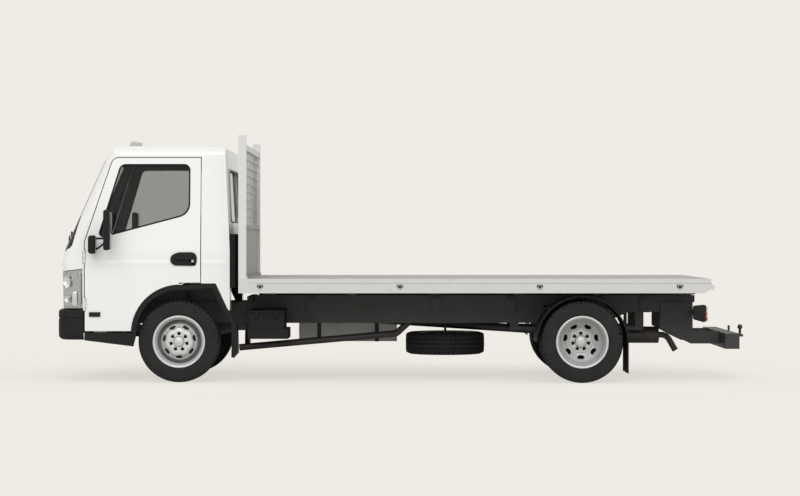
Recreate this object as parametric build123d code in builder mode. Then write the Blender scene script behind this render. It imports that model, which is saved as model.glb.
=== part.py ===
from build123d import *
import math
import os

# Flatbed truck. Millimetres: -X is the front of the truck, +Y its right side, z = 0 the ground.
# Driving sizes, lengthways
FRONT_OVERHANG = 1182
WHEELBASE = 3770
REAR_OVERHANG = 1646
CAB_LENGTH = 1624
CAB_TRAY_GAP = 90
TRAY_OVERHANG = 1190
# Driving sizes, widths
FRAME_WIDTH = 750
CAB_WIDTH = 1950
TRAY_WIDTH = 2200
FRONT_TRACK = 1660
REAR_TRACK = 1650
TWIN_SPACING = 240
KINGPIN_SPAN = 1380
# Driving sizes, heights
TYRE_RADIUS = 383
FRAME_TOP = 738
FRAME_DEPTH = 200
FRAME_TAIL_DEPTH = 95
DECK_TOP = 975
CAB_ROOF = 2242
HEADBOARD_TOP = 2310
# Wheels
TYRE_WIDTH = 215
RIM_RADIUS = 242
RIM_BORE = 205
RIM_WIDTH = 200
STUD_COUNT = 7
# Sheet and clearances
CAB_WALL = 60
SKIN = 25
DOOR_GAP = 8
FIT = 0.3
STEER_ARM = 160

# Places that follow from the driving sizes
X_FRONT = -(FRONT_OVERHANG + WHEELBASE + REAR_OVERHANG) / 2
X_FRONT_AXLE = X_FRONT + FRONT_OVERHANG
X_REAR_AXLE = X_FRONT_AXLE + WHEELBASE
AXLE_Z = TYRE_RADIUS
RAIL_OUT = FRAME_WIDTH / 2
RAIL_FLANGE = 60
RAIL_WEB = 8
FRAME_BOTTOM = FRAME_TOP - FRAME_DEPTH
NOSE_TOP = FRAME_TOP - 58
CAB_HALF = CAB_WIDTH / 2
CAB_NOSE = X_FRONT + 37
CAB_REAR = CAB_NOSE + CAB_LENGTH
BELT = 1240
BUMPER_TOP = 685
PANEL_BOTTOM = BUMPER_TOP + 15
DOOR_FRONT = X_FRONT_AXLE - 884
DOOR_REAR = X_FRONT_AXLE + 212
DOOR_BOTTOM = 476
DOOR_TOP = CAB_ROOF - 128
ARCH_X = X_FRONT_AXLE + 14
ARCH_Z = AXLE_Z + 77
ARCH_RADIUS = 452
ARCH_TOP = ARCH_Z + ARCH_RADIUS + 18
FLOOR_TOP = PANEL_BOTTOM + CAB_WALL
SEAT_FLOOR = ARCH_TOP + CAB_WALL
PIVOT_X = CAB_NOSE + 27
PIVOT_Z = PANEL_BOTTOM - 65
PIVOT_RADIUS = 16
HEADBOARD_X = CAB_REAR + CAB_TRAY_GAP
HEADBOARD_DEPTH = 85
TRAY_FRONT = HEADBOARD_X + HEADBOARD_DEPTH
TRAY_END = X_REAR_AXLE + TRAY_OVERHANG
TRAY_HALF = TRAY_WIDTH / 2
RAIL_WIDTH = 50
RAIL_HEIGHT = 134
RAIL_BOTTOM = DECK_TOP - RAIL_HEIGHT
DECK_THICK = 30
BEARER_TOP = DECK_TOP - DECK_THICK
BEARER_BOTTOM = RAIL_BOTTOM - 36
KINGPIN_Y = KINGPIN_SPAN / 2
FRONT_WHEEL_Y = FRONT_TRACK / 2
REAR_MID_Y = REAR_TRACK / 2
OUTER_Y = REAR_MID_Y + TWIN_SPACING / 2
INNER_Y = REAR_MID_Y - TWIN_SPACING / 2
HINGE_X = DOOR_FRONT + DOOR_GAP / 2
HINGE_Y = CAB_HALF + 1
HINGE_RADIUS = 10
GUARD_RADIUS = TYRE_RADIUS + 38
TAIL_X = TRAY_END - 390
BEAM_X = REAR_OVERHANG + X_REAR_AXLE - 281

SIDES = (-1, 1)


def span(side, inner, outer):
    """Low and high y of a piece between two distances from the centre on one side."""
    return tuple(sorted((side * inner, side * outer)))


def block(x, y, z, mode=Mode.ADD):
    """Box between (low, high) pairs."""
    with Locations((sum(x) / 2, sum(y) / 2, sum(z) / 2)):
        Box(x[1] - x[0], y[1] - y[0], z[1] - z[0], mode=mode)


def rod(start, end, radius, mode=Mode.ADD):
    """Round bar between two points."""
    run = Vector(*end) - Vector(*start)
    with BuildSketch(Plane(origin=start, z_dir=run)) as section:
        Circle(radius)
    extrude(section.sketch, amount=run.length, mode=mode)


def side_plane(y):
    """Plane whose sketch x is X and sketch y is Z; extruding by a minus amount goes to +Y."""
    return Plane.XZ.offset(-y)


def side_plate(points, y, mode=Mode.ADD):
    """Polygon of (x, z) points between two y values."""
    with BuildSketch(side_plane(y[0])) as outline:
        Polygon(*points, align=None)
    extrude(outline.sketch, amount=y[0] - y[1], mode=mode)


def pipe(points, bend, radius):
    """Round pipe along a polyline with rounded bends."""
    with BuildLine() as path:
        FilletPolyline(*points, radius=bend)
    with BuildSketch(path.line ^ 0) as section:
        Circle(radius)
    sweep(section.sketch, path=path.line)


# Cab outside as plan sections: level, half-width, nose set back, front bulge, corner, rear set in
CAB_SECTIONS = (
    (DOOR_BOTTOM - 6, CAB_HALF - 13, 12, 45, 120, 0),
    (BELT - 120, CAB_HALF, 0, 45, 120, 0),
    (BELT, CAB_HALF - 2, 28, 45, 120, 0),
    (CAB_ROOF + 58, CAB_HALF - 94, 28 + 0.424 * (CAB_ROOF + 58 - BELT), 60, 110, 52),
)


def cab_form(inset):
    """Cab outside moved inwards by an inset, as one solid."""
    crown = CAB_ROOF - inset
    with BuildPart() as form:
        for level, half, back, bulge, corner, rear_in in CAB_SECTIONS:
            wide = half - inset
            front = CAB_NOSE + back + inset
            rear = CAB_REAR - rear_in - inset
            turn = corner - inset / 2
            with BuildSketch(Plane.XY.offset(level)):
                with BuildLine():
                    bend = turn * (1 - math.sqrt(0.5))
                    Line((front + bulge + turn, wide), (rear, wide))
                    Line((rear, wide), (rear, -wide))
                    Line((rear, -wide), (front + bulge + turn, -wide))
                    ThreePointArc(
                        (front + bulge + turn, -wide),
                        (front + bulge + bend, bend - wide),
                        (front + bulge, turn - wide),
                    )
                    ThreePointArc((front + bulge, turn - wide), (front, 0), (front + bulge, wide - turn))
                    ThreePointArc(
                        (front + bulge, wide - turn),
                        (front + bulge + bend, wide - bend),
                        (front + bulge + turn, wide),
                    )
                make_face()
        loft(ruled=True)
        with BuildSketch(Plane.XZ):
            with BuildLine():
                nose = CAB_NOSE + 382 + inset
                tail = CAB_REAR - 22 - inset
                Polyline((nose, crown - 137), (nose - 900, crown - 137), (nose - 900, 0), (tail + 500, 0),
                         (tail + 500, crown - 92), (tail, crown - 92))
                TangentArc((CAB_REAR - 152, crown), (tail, crown - 92), tangent=(1, 0))
                Line((CAB_REAR - 152, crown), (CAB_NOSE + 762, crown))
                TangentArc((CAB_NOSE + 762, crown), (nose, crown - 137), tangent=(-1, 0))
            make_face()
        extrude(amount=CAB_WIDTH, both=True, mode=Mode.INTERSECT)
        with BuildSketch(Plane.YZ):
            with BuildLine():
                edge = CAB_HALF - 70 - inset
                brow = CAB_HALF - 215 - inset
                ThreePointArc((-brow, crown - 20), (0, crown + 8), (brow, crown - 20))
                ThreePointArc((brow, crown - 20), (edge - 40, crown - 60), (edge, crown - 157))
                ThreePointArc((-brow, crown - 20), (40 - edge, crown - 60), (-edge, crown - 157))
                Polyline((edge, crown - 157), (CAB_WIDTH, crown - 157), (CAB_WIDTH, 0), (-CAB_WIDTH, 0),
                         (-CAB_WIDTH, crown - 157), (-edge, crown - 157))
            make_face()
        extrude(amount=-2 * X_FRONT, both=True, mode=Mode.INTERSECT)
    return form.part


CAB_OUT = cab_form(0)
CAB_SKIN = cab_form(SKIN)
CAB_IN = cab_form(CAB_WALL)


def door_outline(inset):
    """Door edge seen from the side, in the current sketch."""
    with BuildLine() as edge:
        arch_foot = ARCH_X - math.sqrt(ARCH_RADIUS**2 - (DOOR_BOTTOM - ARCH_Z) ** 2)
        lean = 0.3315
        Polyline((arch_foot, DOOR_BOTTOM), (DOOR_FRONT, DOOR_BOTTOM), (DOOR_FRONT, BELT + 80),
                 (DOOR_FRONT + lean * (DOOR_TOP - BELT - 80), DOOR_TOP), (DOOR_REAR, DOOR_TOP),
                 (DOOR_REAR, ARCH_TOP), (ARCH_X, ARCH_TOP), (ARCH_X, ARCH_Z + ARCH_RADIUS))
        ThreePointArc(
            (ARCH_X, ARCH_Z + ARCH_RADIUS),
            (ARCH_X - ARCH_RADIUS * math.sqrt(0.5), ARCH_Z + ARCH_RADIUS * math.sqrt(0.5)),
            (arch_foot, DOOR_BOTTOM),
        )
    make_face(edge.edges())
    fillet(vertices().group_by(Axis.Y)[-1].sort_by(Axis.X)[0], radius=80)
    if inset:
        offset(amount=-inset, kind=Kind.INTERSECTION, mode=Mode.REPLACE)


def door_window(inset):
    """Door window edge seen from the side, in the current sketch."""
    low = BELT + 122
    rise = DOOR_TOP - 65
    corners = (
        (DOOR_FRONT + 124, low, 40),
        (DOOR_FRONT + 190, low, 40),
        (DOOR_REAR - 104, BELT + 336, 130),
        (DOOR_REAR - 104, rise, 60),
        (DOOR_FRONT + 335, rise, 70),
    )
    Polygon(*[(x, z) for x, z, radius in corners], align=None)
    for x, z, radius in corners:
        fillet(vertices().sort_by_distance((x, z))[0], radius=radius)
    if inset:
        offset(amount=-inset, mode=Mode.REPLACE)


def screen(low_half, high_half, low, high, inset):
    """Windscreen or rear window edge seen from the front, in the current sketch."""
    Polygon((-low_half, low), (low_half, low), (high_half, high), (-high_half, high), align=None)
    fillet(vertices(), radius=60)
    if inset:
        offset(amount=-inset, mode=Mode.REPLACE)


def headlamp_outline(inset):
    """Headlamp edge seen from the side, in the current sketch."""
    Polygon((X_FRONT, PANEL_BOTTOM + 4), (DOOR_FRONT - 14, PANEL_BOTTOM + 4),
            (DOOR_FRONT - 14, PANEL_BOTTOM + 368),
            (X_FRONT + 150, PANEL_BOTTOM + 352), (X_FRONT, PANEL_BOTTOM + 325), align=None)
    if inset:
        offset(amount=-inset, kind=Kind.INTERSECTION, mode=Mode.REPLACE)


LAMP_IN = CAB_HALF - 250
SCREEN = (CAB_HALF - 95, CAB_HALF - 190, BELT + 18, CAB_ROOF - 150)
REAR_WINDOW = (620, 560, BELT + 260, CAB_ROOF - 230)
GRILLE = (520, PANEL_BOTTOM + 70, PANEL_BOTTOM + 240)

os.makedirs("parts", exist_ok=True)


def save(part, name):
    """Label a finished part and write its STEP file."""
    part.label = name
    export_step(part, f"parts/{name}.step")


# Ladder frame: two channel rails with tapered tails, crossmembers and the cab's pivot tube
with BuildPart() as chassis_frame:
    rise_x = X_REAR_AXLE + 250
    end_x = TAIL_X + 300
    tail_z = FRAME_TOP - FRAME_TAIL_DEPTH
    nose_x = PIVOT_X - 24
    step_x = DOOR_FRONT + 410
    for side in SIDES:
        side_plate([(nose_x, PIVOT_Z - 30), (nose_x, NOSE_TOP), (step_x, NOSE_TOP), (step_x + 90, FRAME_TOP),
                    (end_x, FRAME_TOP), (end_x, tail_z), (rise_x + 250, tail_z), (rise_x, FRAME_BOTTOM),
                    (nose_x + 150, FRAME_BOTTOM)], span(side, RAIL_OUT - RAIL_FLANGE, RAIL_OUT))
        side_plate([(nose_x + 90, NOSE_TOP - RAIL_WEB), (step_x, NOSE_TOP - RAIL_WEB),
                    (step_x + 90, FRAME_TOP - RAIL_WEB), (end_x + 10, FRAME_TOP - RAIL_WEB),
                    (end_x + 10, tail_z + RAIL_WEB), (rise_x + 250, tail_z + RAIL_WEB),
                    (rise_x, FRAME_BOTTOM + RAIL_WEB), (nose_x + 150, FRAME_BOTTOM + RAIL_WEB)],
                   span(side, RAIL_OUT - RAIL_FLANGE - 10, RAIL_OUT - RAIL_WEB), mode=Mode.SUBTRACT)
    for cross_x, top in ((nose_x + 200, NOSE_TOP), (X_FRONT_AXLE + 1020, FRAME_TOP), (-100, FRAME_TOP),
                         (X_REAR_AXLE - 700, FRAME_TOP), (X_REAR_AXLE + 480, FRAME_TOP),
                         (end_x - 60, FRAME_TOP)):
        block((cross_x - 30, cross_x + 30), (RAIL_WEB - RAIL_OUT, RAIL_OUT - RAIL_WEB),
              (top - 75, top - RAIL_WEB))
    rod((PIVOT_X, -RAIL_OUT, PIVOT_Z), (PIVOT_X, RAIL_OUT, PIVOT_Z), PIVOT_RADIUS)
save(chassis_frame.part, "chassis_frame")

# Engine and gearbox as one plain block between the rails
GEARBOX_END = X_FRONT_AXLE + 900
SHAFT_Z = FRAME_TOP - 118
with BuildPart() as engine:
    block((X_FRONT_AXLE - 350, X_FRONT_AXLE + 300), (-230, 230), (AXLE_Z + 95, ARCH_TOP - 40))
    block((X_FRONT_AXLE + 300, GEARBOX_END), (-150, 150), (SHAFT_Z - 150, SHAFT_Z + 40))
    for side in SIDES:
        block((X_FRONT_AXLE - 100, X_FRONT_AXLE), span(side, 230, RAIL_OUT - RAIL_WEB),
              (FRAME_BOTTOM + 60, FRAME_BOTTOM + 120))
save(engine.part, "engine")

# Front axle beam with kingpin eyes
PIN_RADIUS = 18
EYE_LOW, EYE_HIGH = AXLE_Z - 48, AXLE_Z + 48
BEAM_TOP = AXLE_Z + 7
with BuildPart() as front_axle:
    block((X_FRONT_AXLE - 40, X_FRONT_AXLE + 40), (-KINGPIN_Y + 80, KINGPIN_Y - 80),
          (BEAM_TOP - 90, BEAM_TOP))
    for side in SIDES:
        block((X_FRONT_AXLE - 30, X_FRONT_AXLE + 30), span(side, KINGPIN_Y - 110, KINGPIN_Y),
              (BEAM_TOP - 50, BEAM_TOP))
        rod((X_FRONT_AXLE, side * KINGPIN_Y, EYE_LOW), (X_FRONT_AXLE, side * KINGPIN_Y, EYE_HIGH), 38)
    for side in SIDES:
        rod((X_FRONT_AXLE, side * KINGPIN_Y, EYE_LOW), (X_FRONT_AXLE, side * KINGPIN_Y, EYE_HIGH),
            PIN_RADIUS + FIT, mode=Mode.SUBTRACT)
save(front_axle.part, "front_axle")

# Rear axle tube, differential and propeller shaft
AXLE_TUBE = 60
with BuildPart() as rear_axle:
    rod((X_REAR_AXLE, -REAR_MID_Y + 35, AXLE_Z), (X_REAR_AXLE, REAR_MID_Y - 35, AXLE_Z), AXLE_TUBE)
    with Locations((X_REAR_AXLE, 0, AXLE_Z)):
        Sphere(165)
    rod((X_REAR_AXLE, 0, AXLE_Z + 20), (X_REAR_AXLE - 240, 0, AXLE_Z + 72), 70)
    rod((GEARBOX_END, 0, SHAFT_Z), (GEARBOX_END + 30, 0, SHAFT_Z), 60)
    rod((GEARBOX_END + 15, 0, SHAFT_Z), (X_REAR_AXLE - 200, 0, AXLE_Z + 66), 40)
save(rear_axle.part, "rear_axle")

# Leaf springs with their hangers: axle x, seat height, half length, hanger drop at the back
SPRING_Y = RAIL_OUT - RAIL_FLANGE / 2
SPRING_TABLE = (
    (X_FRONT_AXLE, BEAM_TOP, 550, FRAME_BOTTOM),
    (X_REAR_AXLE, AXLE_Z + AXLE_TUBE, 600, tail_z),
)
with BuildPart() as leaf_springs:
    for axle_x, seat, half, hang in SPRING_TABLE:
        eye_z = FRAME_BOTTOM - 40
        for side in SIDES:
            low_y, high_y = span(side, SPRING_Y - 28, SPRING_Y + 28)
            with BuildSketch(side_plane(low_y)):
                with BuildLine():
                    ThreePointArc((axle_x - half, eye_z - 20), (axle_x, seat), (axle_x + half, eye_z - 20))
                    Line((axle_x + half, eye_z - 20), (axle_x + half, eye_z + 10))
                    ThreePointArc((axle_x + half, eye_z + 10), (axle_x, seat + 55),
                                  (axle_x - half, eye_z + 10))
                    Line((axle_x - half, eye_z + 10), (axle_x - half, eye_z - 20))
                make_face()
            extrude(amount=low_y - high_y)
            block((axle_x - half - 40, axle_x - half + 40), (low_y, high_y), (eye_z - 30, FRAME_BOTTOM))
            block((axle_x + half - 40, axle_x + half + 40), (low_y, high_y), (eye_z - 30, hang))
save(leaf_springs.part, "leaf_springs")

# Exhaust: rising front pipe, silencer behind the rear axle and turned-down tailpipe
SILENCER_X = X_REAR_AXLE + 440
SILENCER_Y = -200
SILENCER_Z = AXLE_Z + 35
with BuildPart() as exhaust:
    pipe([(X_FRONT_AXLE + 520, -250, AXLE_Z - 85), (-80, -250, AXLE_Z + 50), (70, -250, AXLE_Z + 190),
          (X_REAR_AXLE + 60, -250, AXLE_Z + 190), (SILENCER_X - 140, SILENCER_Y, SILENCER_Z),
          (SILENCER_X + 10, SILENCER_Y, SILENCER_Z)], 60, 32)
    rod((SILENCER_X, SILENCER_Y, SILENCER_Z), (SILENCER_X + 360, SILENCER_Y, SILENCER_Z), 80)
    pipe([(SILENCER_X + 350, SILENCER_Y, SILENCER_Z), (SILENCER_X + 440, SILENCER_Y, SILENCER_Z),
          (SILENCER_X + 525, SILENCER_Y, SILENCER_Z - 150)], 90, 29)
    block((X_REAR_AXLE + 465, X_REAR_AXLE + 495), (SILENCER_Y - 15, SILENCER_Y + 15),
          (SILENCER_Z, FRAME_TOP - 75))
save(exhaust.part, "exhaust")

# Fuel tank on the right rail
TANK_X = X_FRONT_AXLE + 1069
with BuildPart() as fuel_tank:
    block((TANK_X, TANK_X + 972), (RAIL_OUT, RAIL_OUT + 480), (FRAME_BOTTOM - 212, FRAME_BOTTOM + 60))
    fillet(fuel_tank.edges().filter_by(Axis.X), radius=55)
save(fuel_tank.part, "fuel_tank")

# Battery box on the left rail: carrier tray and box
BATTERY_X = X_FRONT_AXLE + 641
with BuildPart() as battery_box:
    block((BATTERY_X, BATTERY_X + 379), (-CAB_HALF + 85, -RAIL_OUT), (FRAME_BOTTOM - 131, FRAME_BOTTOM - 37))
    block((BATTERY_X + 14, BATTERY_X + 342), (-CAB_HALF + 95, -RAIL_OUT),
          (FRAME_BOTTOM - 37, FRAME_BOTTOM + 131))
save(battery_box.part, "battery_box")


def tyre_section(plane):
    """Half section of one tyre: sketch x is the radius, sketch y the width."""
    half = TYRE_WIDTH / 2
    inner = RIM_RADIUS + FIT
    with BuildSketch(plane) as section:
        Polygon((inner, -half + 12), (TYRE_RADIUS - 50, -half), (TYRE_RADIUS, -half + 27),
                (TYRE_RADIUS, half - 27), (TYRE_RADIUS - 50, half), (inner, half - 12), align=None)
    return section.sketch


# Spare wheel, slung flat under the frame
SPARE_X = X_REAR_AXLE - 1260
SPARE_Z = FRAME_BOTTOM - 205
with BuildPart() as spare_tyre:
    revolve(tyre_section(Plane(origin=(SPARE_X, 0, SPARE_Z), x_dir=(1, 0, 0), z_dir=(0, -1, 0))),
            axis=Axis((SPARE_X, 0, SPARE_Z), (0, 0, 1)))
save(spare_tyre.part, "spare_tyre")

with BuildPart() as spare_rim:
    with BuildSketch(Plane(origin=(SPARE_X, 0, SPARE_Z), x_dir=(1, 0, 0), z_dir=(0, -1, 0))):
        Polygon((RIM_BORE, -RIM_WIDTH / 2), (RIM_RADIUS, -RIM_WIDTH / 2), (RIM_RADIUS, RIM_WIDTH / 2),
                (RIM_BORE, RIM_WIDTH / 2), (RIM_BORE, -20), (135, -75), (60, -75), (60, -90), (140, -90),
                (RIM_BORE, -35), align=None)
    revolve(axis=Axis((SPARE_X, 0, SPARE_Z), (0, 0, 1)))
    rod((SPARE_X, 0, SPARE_Z - 96), (SPARE_X, 0, SPARE_Z - 84), 75)
    rod((SPARE_X, -120, SPARE_Z - 90), (SPARE_X, -120, FRAME_TOP - 75), 12)
    block((SPARE_X - 30, SPARE_X + 30), (RAIL_WEB - RAIL_OUT, RAIL_OUT - RAIL_WEB),
          (FRAME_TOP - 75, FRAME_TOP - 40))
save(spare_rim.part, "spare_rim")

# Rear mudguards with stays from the rails and hanging flaps
with BuildPart() as rear_mudguards:
    for side in SIDES:
        low_y, high_y = span(side, INNER_Y - TYRE_WIDTH / 2 - 20, OUTER_Y + TYRE_WIDTH / 2 + 5)
        with BuildSketch(side_plane(low_y)):
            with Locations((X_REAR_AXLE, AXLE_Z)):
                Circle(GUARD_RADIUS + 10)
                Circle(GUARD_RADIUS, mode=Mode.SUBTRACT)
            with Locations((X_REAR_AXLE, AXLE_Z - GUARD_RADIUS)):
                Rectangle(3 * GUARD_RADIUS, 2 * GUARD_RADIUS, mode=Mode.SUBTRACT)
        extrude(amount=low_y - high_y)
        block((X_REAR_AXLE + GUARD_RADIUS, X_REAR_AXLE + GUARD_RADIUS + 10), (low_y, high_y),
              (AXLE_Z - 290, AXLE_Z + 1))
        for fore in SIDES:
            stay_x = X_REAR_AXLE + fore * (GUARD_RADIUS + 18) * math.sqrt(0.5)
            stay_z = AXLE_Z + (GUARD_RADIUS + 18) * math.sqrt(0.5)
            rod((stay_x, side * RAIL_OUT, stay_z), (stay_x, side * (OUTER_Y + 60), stay_z), 14)
save(rear_mudguards.part, "rear_mudguards")

# Front bumper: curved skin with rounded top and bottom front edges, carried on the frame
BUMPER_BOTTOM = 401
BUMPER_SKIN = 25


def bumper_plan(inset):
    """Bumper outline seen from above, in the current sketch."""
    wide = CAB_HALF - 10 - inset
    front = X_FRONT + inset
    back = DOOR_FRONT - 6
    turn = 130 - inset / 2
    bend = turn * (1 - math.sqrt(0.5))
    with BuildLine() as edge:
        Polyline((front + 45 + turn, wide), (back + inset, wide), (back + inset, -wide),
                 (front + 45 + turn, -wide))
        ThreePointArc((front + 45 + turn, -wide), (front + 45 + bend, bend - wide), (front + 45, turn - wide))
        ThreePointArc((front + 45, turn - wide), (front, 0), (front + 45, wide - turn))
        ThreePointArc((front + 45, wide - turn), (front + 45 + bend, wide - bend), (front + 45 + turn, wide))
    make_face(edge.edges())


with BuildPart() as front_bumper:
    with BuildSketch(Plane.XY.offset(BUMPER_BOTTOM)):
        bumper_plan(0)
    extrude(amount=BUMPER_TOP - BUMPER_BOTTOM)
    with BuildSketch(Plane.XY.offset(BUMPER_BOTTOM - 1)):
        bumper_plan(BUMPER_SKIN)
    extrude(amount=BUMPER_TOP - BUMPER_BOTTOM + 2, mode=Mode.SUBTRACT)
    with BuildSketch(Plane.XZ):
        with Locations(((X_FRONT + DOOR_FRONT) / 2 + 200, (BUMPER_BOTTOM + BUMPER_TOP) / 2)):
            RectangleRounded(DOOR_FRONT - X_FRONT + 400, BUMPER_TOP - BUMPER_BOTTOM, 55)
    extrude(amount=CAB_WIDTH, both=True, mode=Mode.INTERSECT)
    block((X_FRONT - 10, X_FRONT + 150), (-330, 330), (BUMPER_BOTTOM + 70, BUMPER_BOTTOM + 130),
          mode=Mode.SUBTRACT)
    for side in SIDES:
        block((X_FRONT + 15, PIVOT_X + 200), span(side, RAIL_OUT, RAIL_OUT + 40),
              (FRAME_BOTTOM + 20, FRAME_BOTTOM + 90))
save(front_bumper.part, "front_bumper")

# Tray underframe: two runners on the rails and cross bearers with raked ends
BEARER_FIRST = TRAY_FRONT + 169
BEARER_STEP = (TRAY_END - 174 - BEARER_FIRST) / 5
BEARERS = [BEARER_FIRST + step * BEARER_STEP for step in range(6)]
with BuildPart() as subframe:
    for side in SIDES:
        block((TRAY_FRONT + 20, TRAY_END - 60), span(side, RAIL_OUT - RAIL_FLANGE, RAIL_OUT),
              (FRAME_TOP, BEARER_BOTTOM))
    for bearer_x in BEARERS:
        with BuildSketch(Plane.YZ.offset(bearer_x - 35)):
            Polygon((-TRAY_HALF + RAIL_WIDTH, BEARER_TOP), (-TRAY_HALF + RAIL_WIDTH, RAIL_BOTTOM - 8),
                    (-500, BEARER_BOTTOM),
                    (500, BEARER_BOTTOM), (TRAY_HALF - RAIL_WIDTH, RAIL_BOTTOM - 8),
                    (TRAY_HALF - RAIL_WIDTH, BEARER_TOP), align=None)
        extrude(amount=70)
save(subframe.part, "subframe")

# Deck of long planks with grooves between them
PLANK_COUNT = 10
with BuildPart() as tray_deck:
    deck_half = TRAY_HALF - RAIL_WIDTH
    block((TRAY_FRONT, TRAY_END), (-deck_half, deck_half), (BEARER_TOP, DECK_TOP))
    for plank in range(1, PLANK_COUNT):
        groove_y = -deck_half + plank * 2 * deck_half / PLANK_COUNT
        block((TRAY_FRONT - 1, TRAY_END + 1), (groove_y - 4, groove_y + 4), (DECK_TOP - 6, DECK_TOP + 1),
              mode=Mode.SUBTRACT)
save(tray_deck.part, "tray_deck")

# Side rails with a groove along the outer face, and the rear rail with its rubbing lip
with BuildPart() as tray_rails:
    for side in SIDES:
        side_plate([(HEADBOARD_X, RAIL_BOTTOM), (HEADBOARD_X, DECK_TOP), (TRAY_END, DECK_TOP),
                    (TRAY_END, DECK_TOP - 100),
                    (TRAY_END - 60, RAIL_BOTTOM)], span(side, TRAY_HALF - RAIL_WIDTH, TRAY_HALF))
        block((TRAY_FRONT, TRAY_END), span(side, TRAY_HALF - 5, TRAY_HALF), (DECK_TOP - 48, DECK_TOP - 40),
              mode=Mode.SUBTRACT)
    side_plate([(TRAY_END, DECK_TOP), (TRAY_END, DECK_TOP - 100), (TRAY_END + 34, DECK_TOP - 105),
                (TRAY_END + 34, DECK_TOP - 55), (TRAY_END + 6, DECK_TOP - 50), (TRAY_END + 4, DECK_TOP)],
               (-TRAY_HALF, TRAY_HALF))
save(tray_rails.part, "tray_rails")

# Headboard: posts, rails, lower sheet and grid guard for the rear window
HEADBOARD_RAIL = HEADBOARD_TOP - 82
GUARD_LOW = DECK_TOP + 505
GRID_COLUMNS, GRID_ROWS = 7, 9
POST_DEPTH = HEADBOARD_DEPTH - 13
with BuildPart() as headboard:
    inner_half = TRAY_HALF - RAIL_WIDTH
    mid_x = HEADBOARD_X + HEADBOARD_DEPTH / 2
    guard_top = HEADBOARD_RAIL - 55
    for side in SIDES:
        block((HEADBOARD_X, HEADBOARD_X + POST_DEPTH), span(side, inner_half, TRAY_HALF),
              (DECK_TOP, HEADBOARD_TOP))
    for low, high, depth in ((guard_top, HEADBOARD_RAIL, 40), (GUARD_LOW - 40, GUARD_LOW, 40),
                             (RAIL_BOTTOM, DECK_TOP + 25, 80), (DECK_TOP + 25, GUARD_LOW - 40, 8)):
        block((mid_x - depth / 2, mid_x + depth / 2), (-inner_half, inner_half), (low, high))
    for row in range(1, GRID_ROWS):
        bar_z = GUARD_LOW + row * (guard_top - GUARD_LOW) / GRID_ROWS
        block((mid_x - 6, mid_x + 2), (-inner_half, inner_half), (bar_z - 4, bar_z + 4))
    for column in range(1, GRID_COLUMNS):
        bar_y = -inner_half + column * 2 * inner_half / GRID_COLUMNS
        block((mid_x - 2, mid_x + 6), (bar_y - 4, bar_y + 4), (GUARD_LOW, guard_top))
save(headboard.part, "headboard")

# Lashing rings along both side rails
RING_FIRST = TRAY_FRONT + 116
RING_STEP = (TRAY_END - 288 - RING_FIRST) / 3
with BuildPart() as lashing_rings:
    for side in SIDES:
        low_y, high_y = span(side, TRAY_HALF, TRAY_HALF + 9)
        for step in range(4):
            with BuildSketch(side_plane(low_y)):
                with Locations((RING_FIRST + step * RING_STEP, DECK_TOP - 70)):
                    Circle(24)
                    Circle(14, mode=Mode.SUBTRACT)
            extrude(amount=low_y - high_y)
save(lashing_rings.part, "lashing_rings")

# Tow bar: side plates on the rails, rear beam, lamp bar, tongue with ball and pin
BEAM_HALF = 820
BEAM_Z = (310, 455)
BALL_X = X_REAR_AXLE + REAR_OVERHANG - 25
BALL_Z = BEAM_Z[1] + 32
with BuildPart() as tow_bar:
    for side in SIDES:
        side_plate([(TAIL_X, FRAME_TOP), (TAIL_X + 310, FRAME_TOP), (TAIL_X + 310, BEAM_Z[1] + 5),
                    (BEAM_X, BEAM_Z[1] + 5), (BEAM_X, 341), (TAIL_X + 290, 341), (TAIL_X + 180, 394),
                    (TAIL_X, 490)],
                   span(side, RAIL_OUT, RAIL_OUT + 20))
    block((BEAM_X, BEAM_X + 132), (-BEAM_HALF, BEAM_HALF), BEAM_Z)
    block((BEAM_X + 100, BALL_X + 25), (-45, 45), (BEAM_Z[1] - 62, BEAM_Z[1] - 40))
    rod((BALL_X, 0, BEAM_Z[1] - 40), (BALL_X, 0, BALL_Z), 13)
    with Locations((BALL_X, 0, BALL_Z)):
        Sphere(25)
    rod((BEAM_X + 150, 30, BEAM_Z[1] - 62), (BEAM_X + 150, 30, BEAM_Z[1] + 45), 11)
    block((TAIL_X + 310, TAIL_X + 340), (-TRAY_HALF + 150, TRAY_HALF - 150),
          (FRAME_TOP - 125, FRAME_TOP - 75))
    for side in SIDES:
        block((TAIL_X + 280, TAIL_X + 320), span(side, RAIL_OUT, RAIL_OUT + 40),
              (FRAME_TOP - 125, FRAME_TOP - 75))
save(tow_bar.part, "tow_bar")

# Tail lamps at the ends of the lamp bar
with BuildPart() as tail_lamps:
    for side in SIDES:
        block((TAIL_X + 240, TAIL_X + 368), span(side, TRAY_HALF - 150, TRAY_HALF - 50),
              (FRAME_TOP - 178, FRAME_TOP - 2))
save(tail_lamps.part, "tail_lamps")

# Cab shell: hollow body with floor, rear wall, pillars and the pivot lugs
with BuildPart() as cab_space:
    add(CAB_IN)
    side_plate([(X_FRONT, 0), (X_FRONT, FLOOR_TOP), (DOOR_FRONT + 400, FLOOR_TOP),
                (DOOR_FRONT + 440, SEAT_FLOOR),
                (CAB_REAR, SEAT_FLOOR), (CAB_REAR, 0)], (-CAB_WIDTH, CAB_WIDTH), mode=Mode.SUBTRACT)

with BuildPart() as door_hole:
    for side in SIDES:
        with BuildSketch(side_plane(side * CAB_HALF)):
            door_outline(0)
        extrude(amount=180, both=True)
    add(CAB_IN, mode=Mode.SUBTRACT)

with BuildPart() as nose_cut:
    block((X_FRONT, DOOR_FRONT - 8), (-CAB_WIDTH, CAB_WIDTH), (PANEL_BOTTOM - 1, BELT))
    add(CAB_SKIN, mode=Mode.SUBTRACT)

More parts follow.
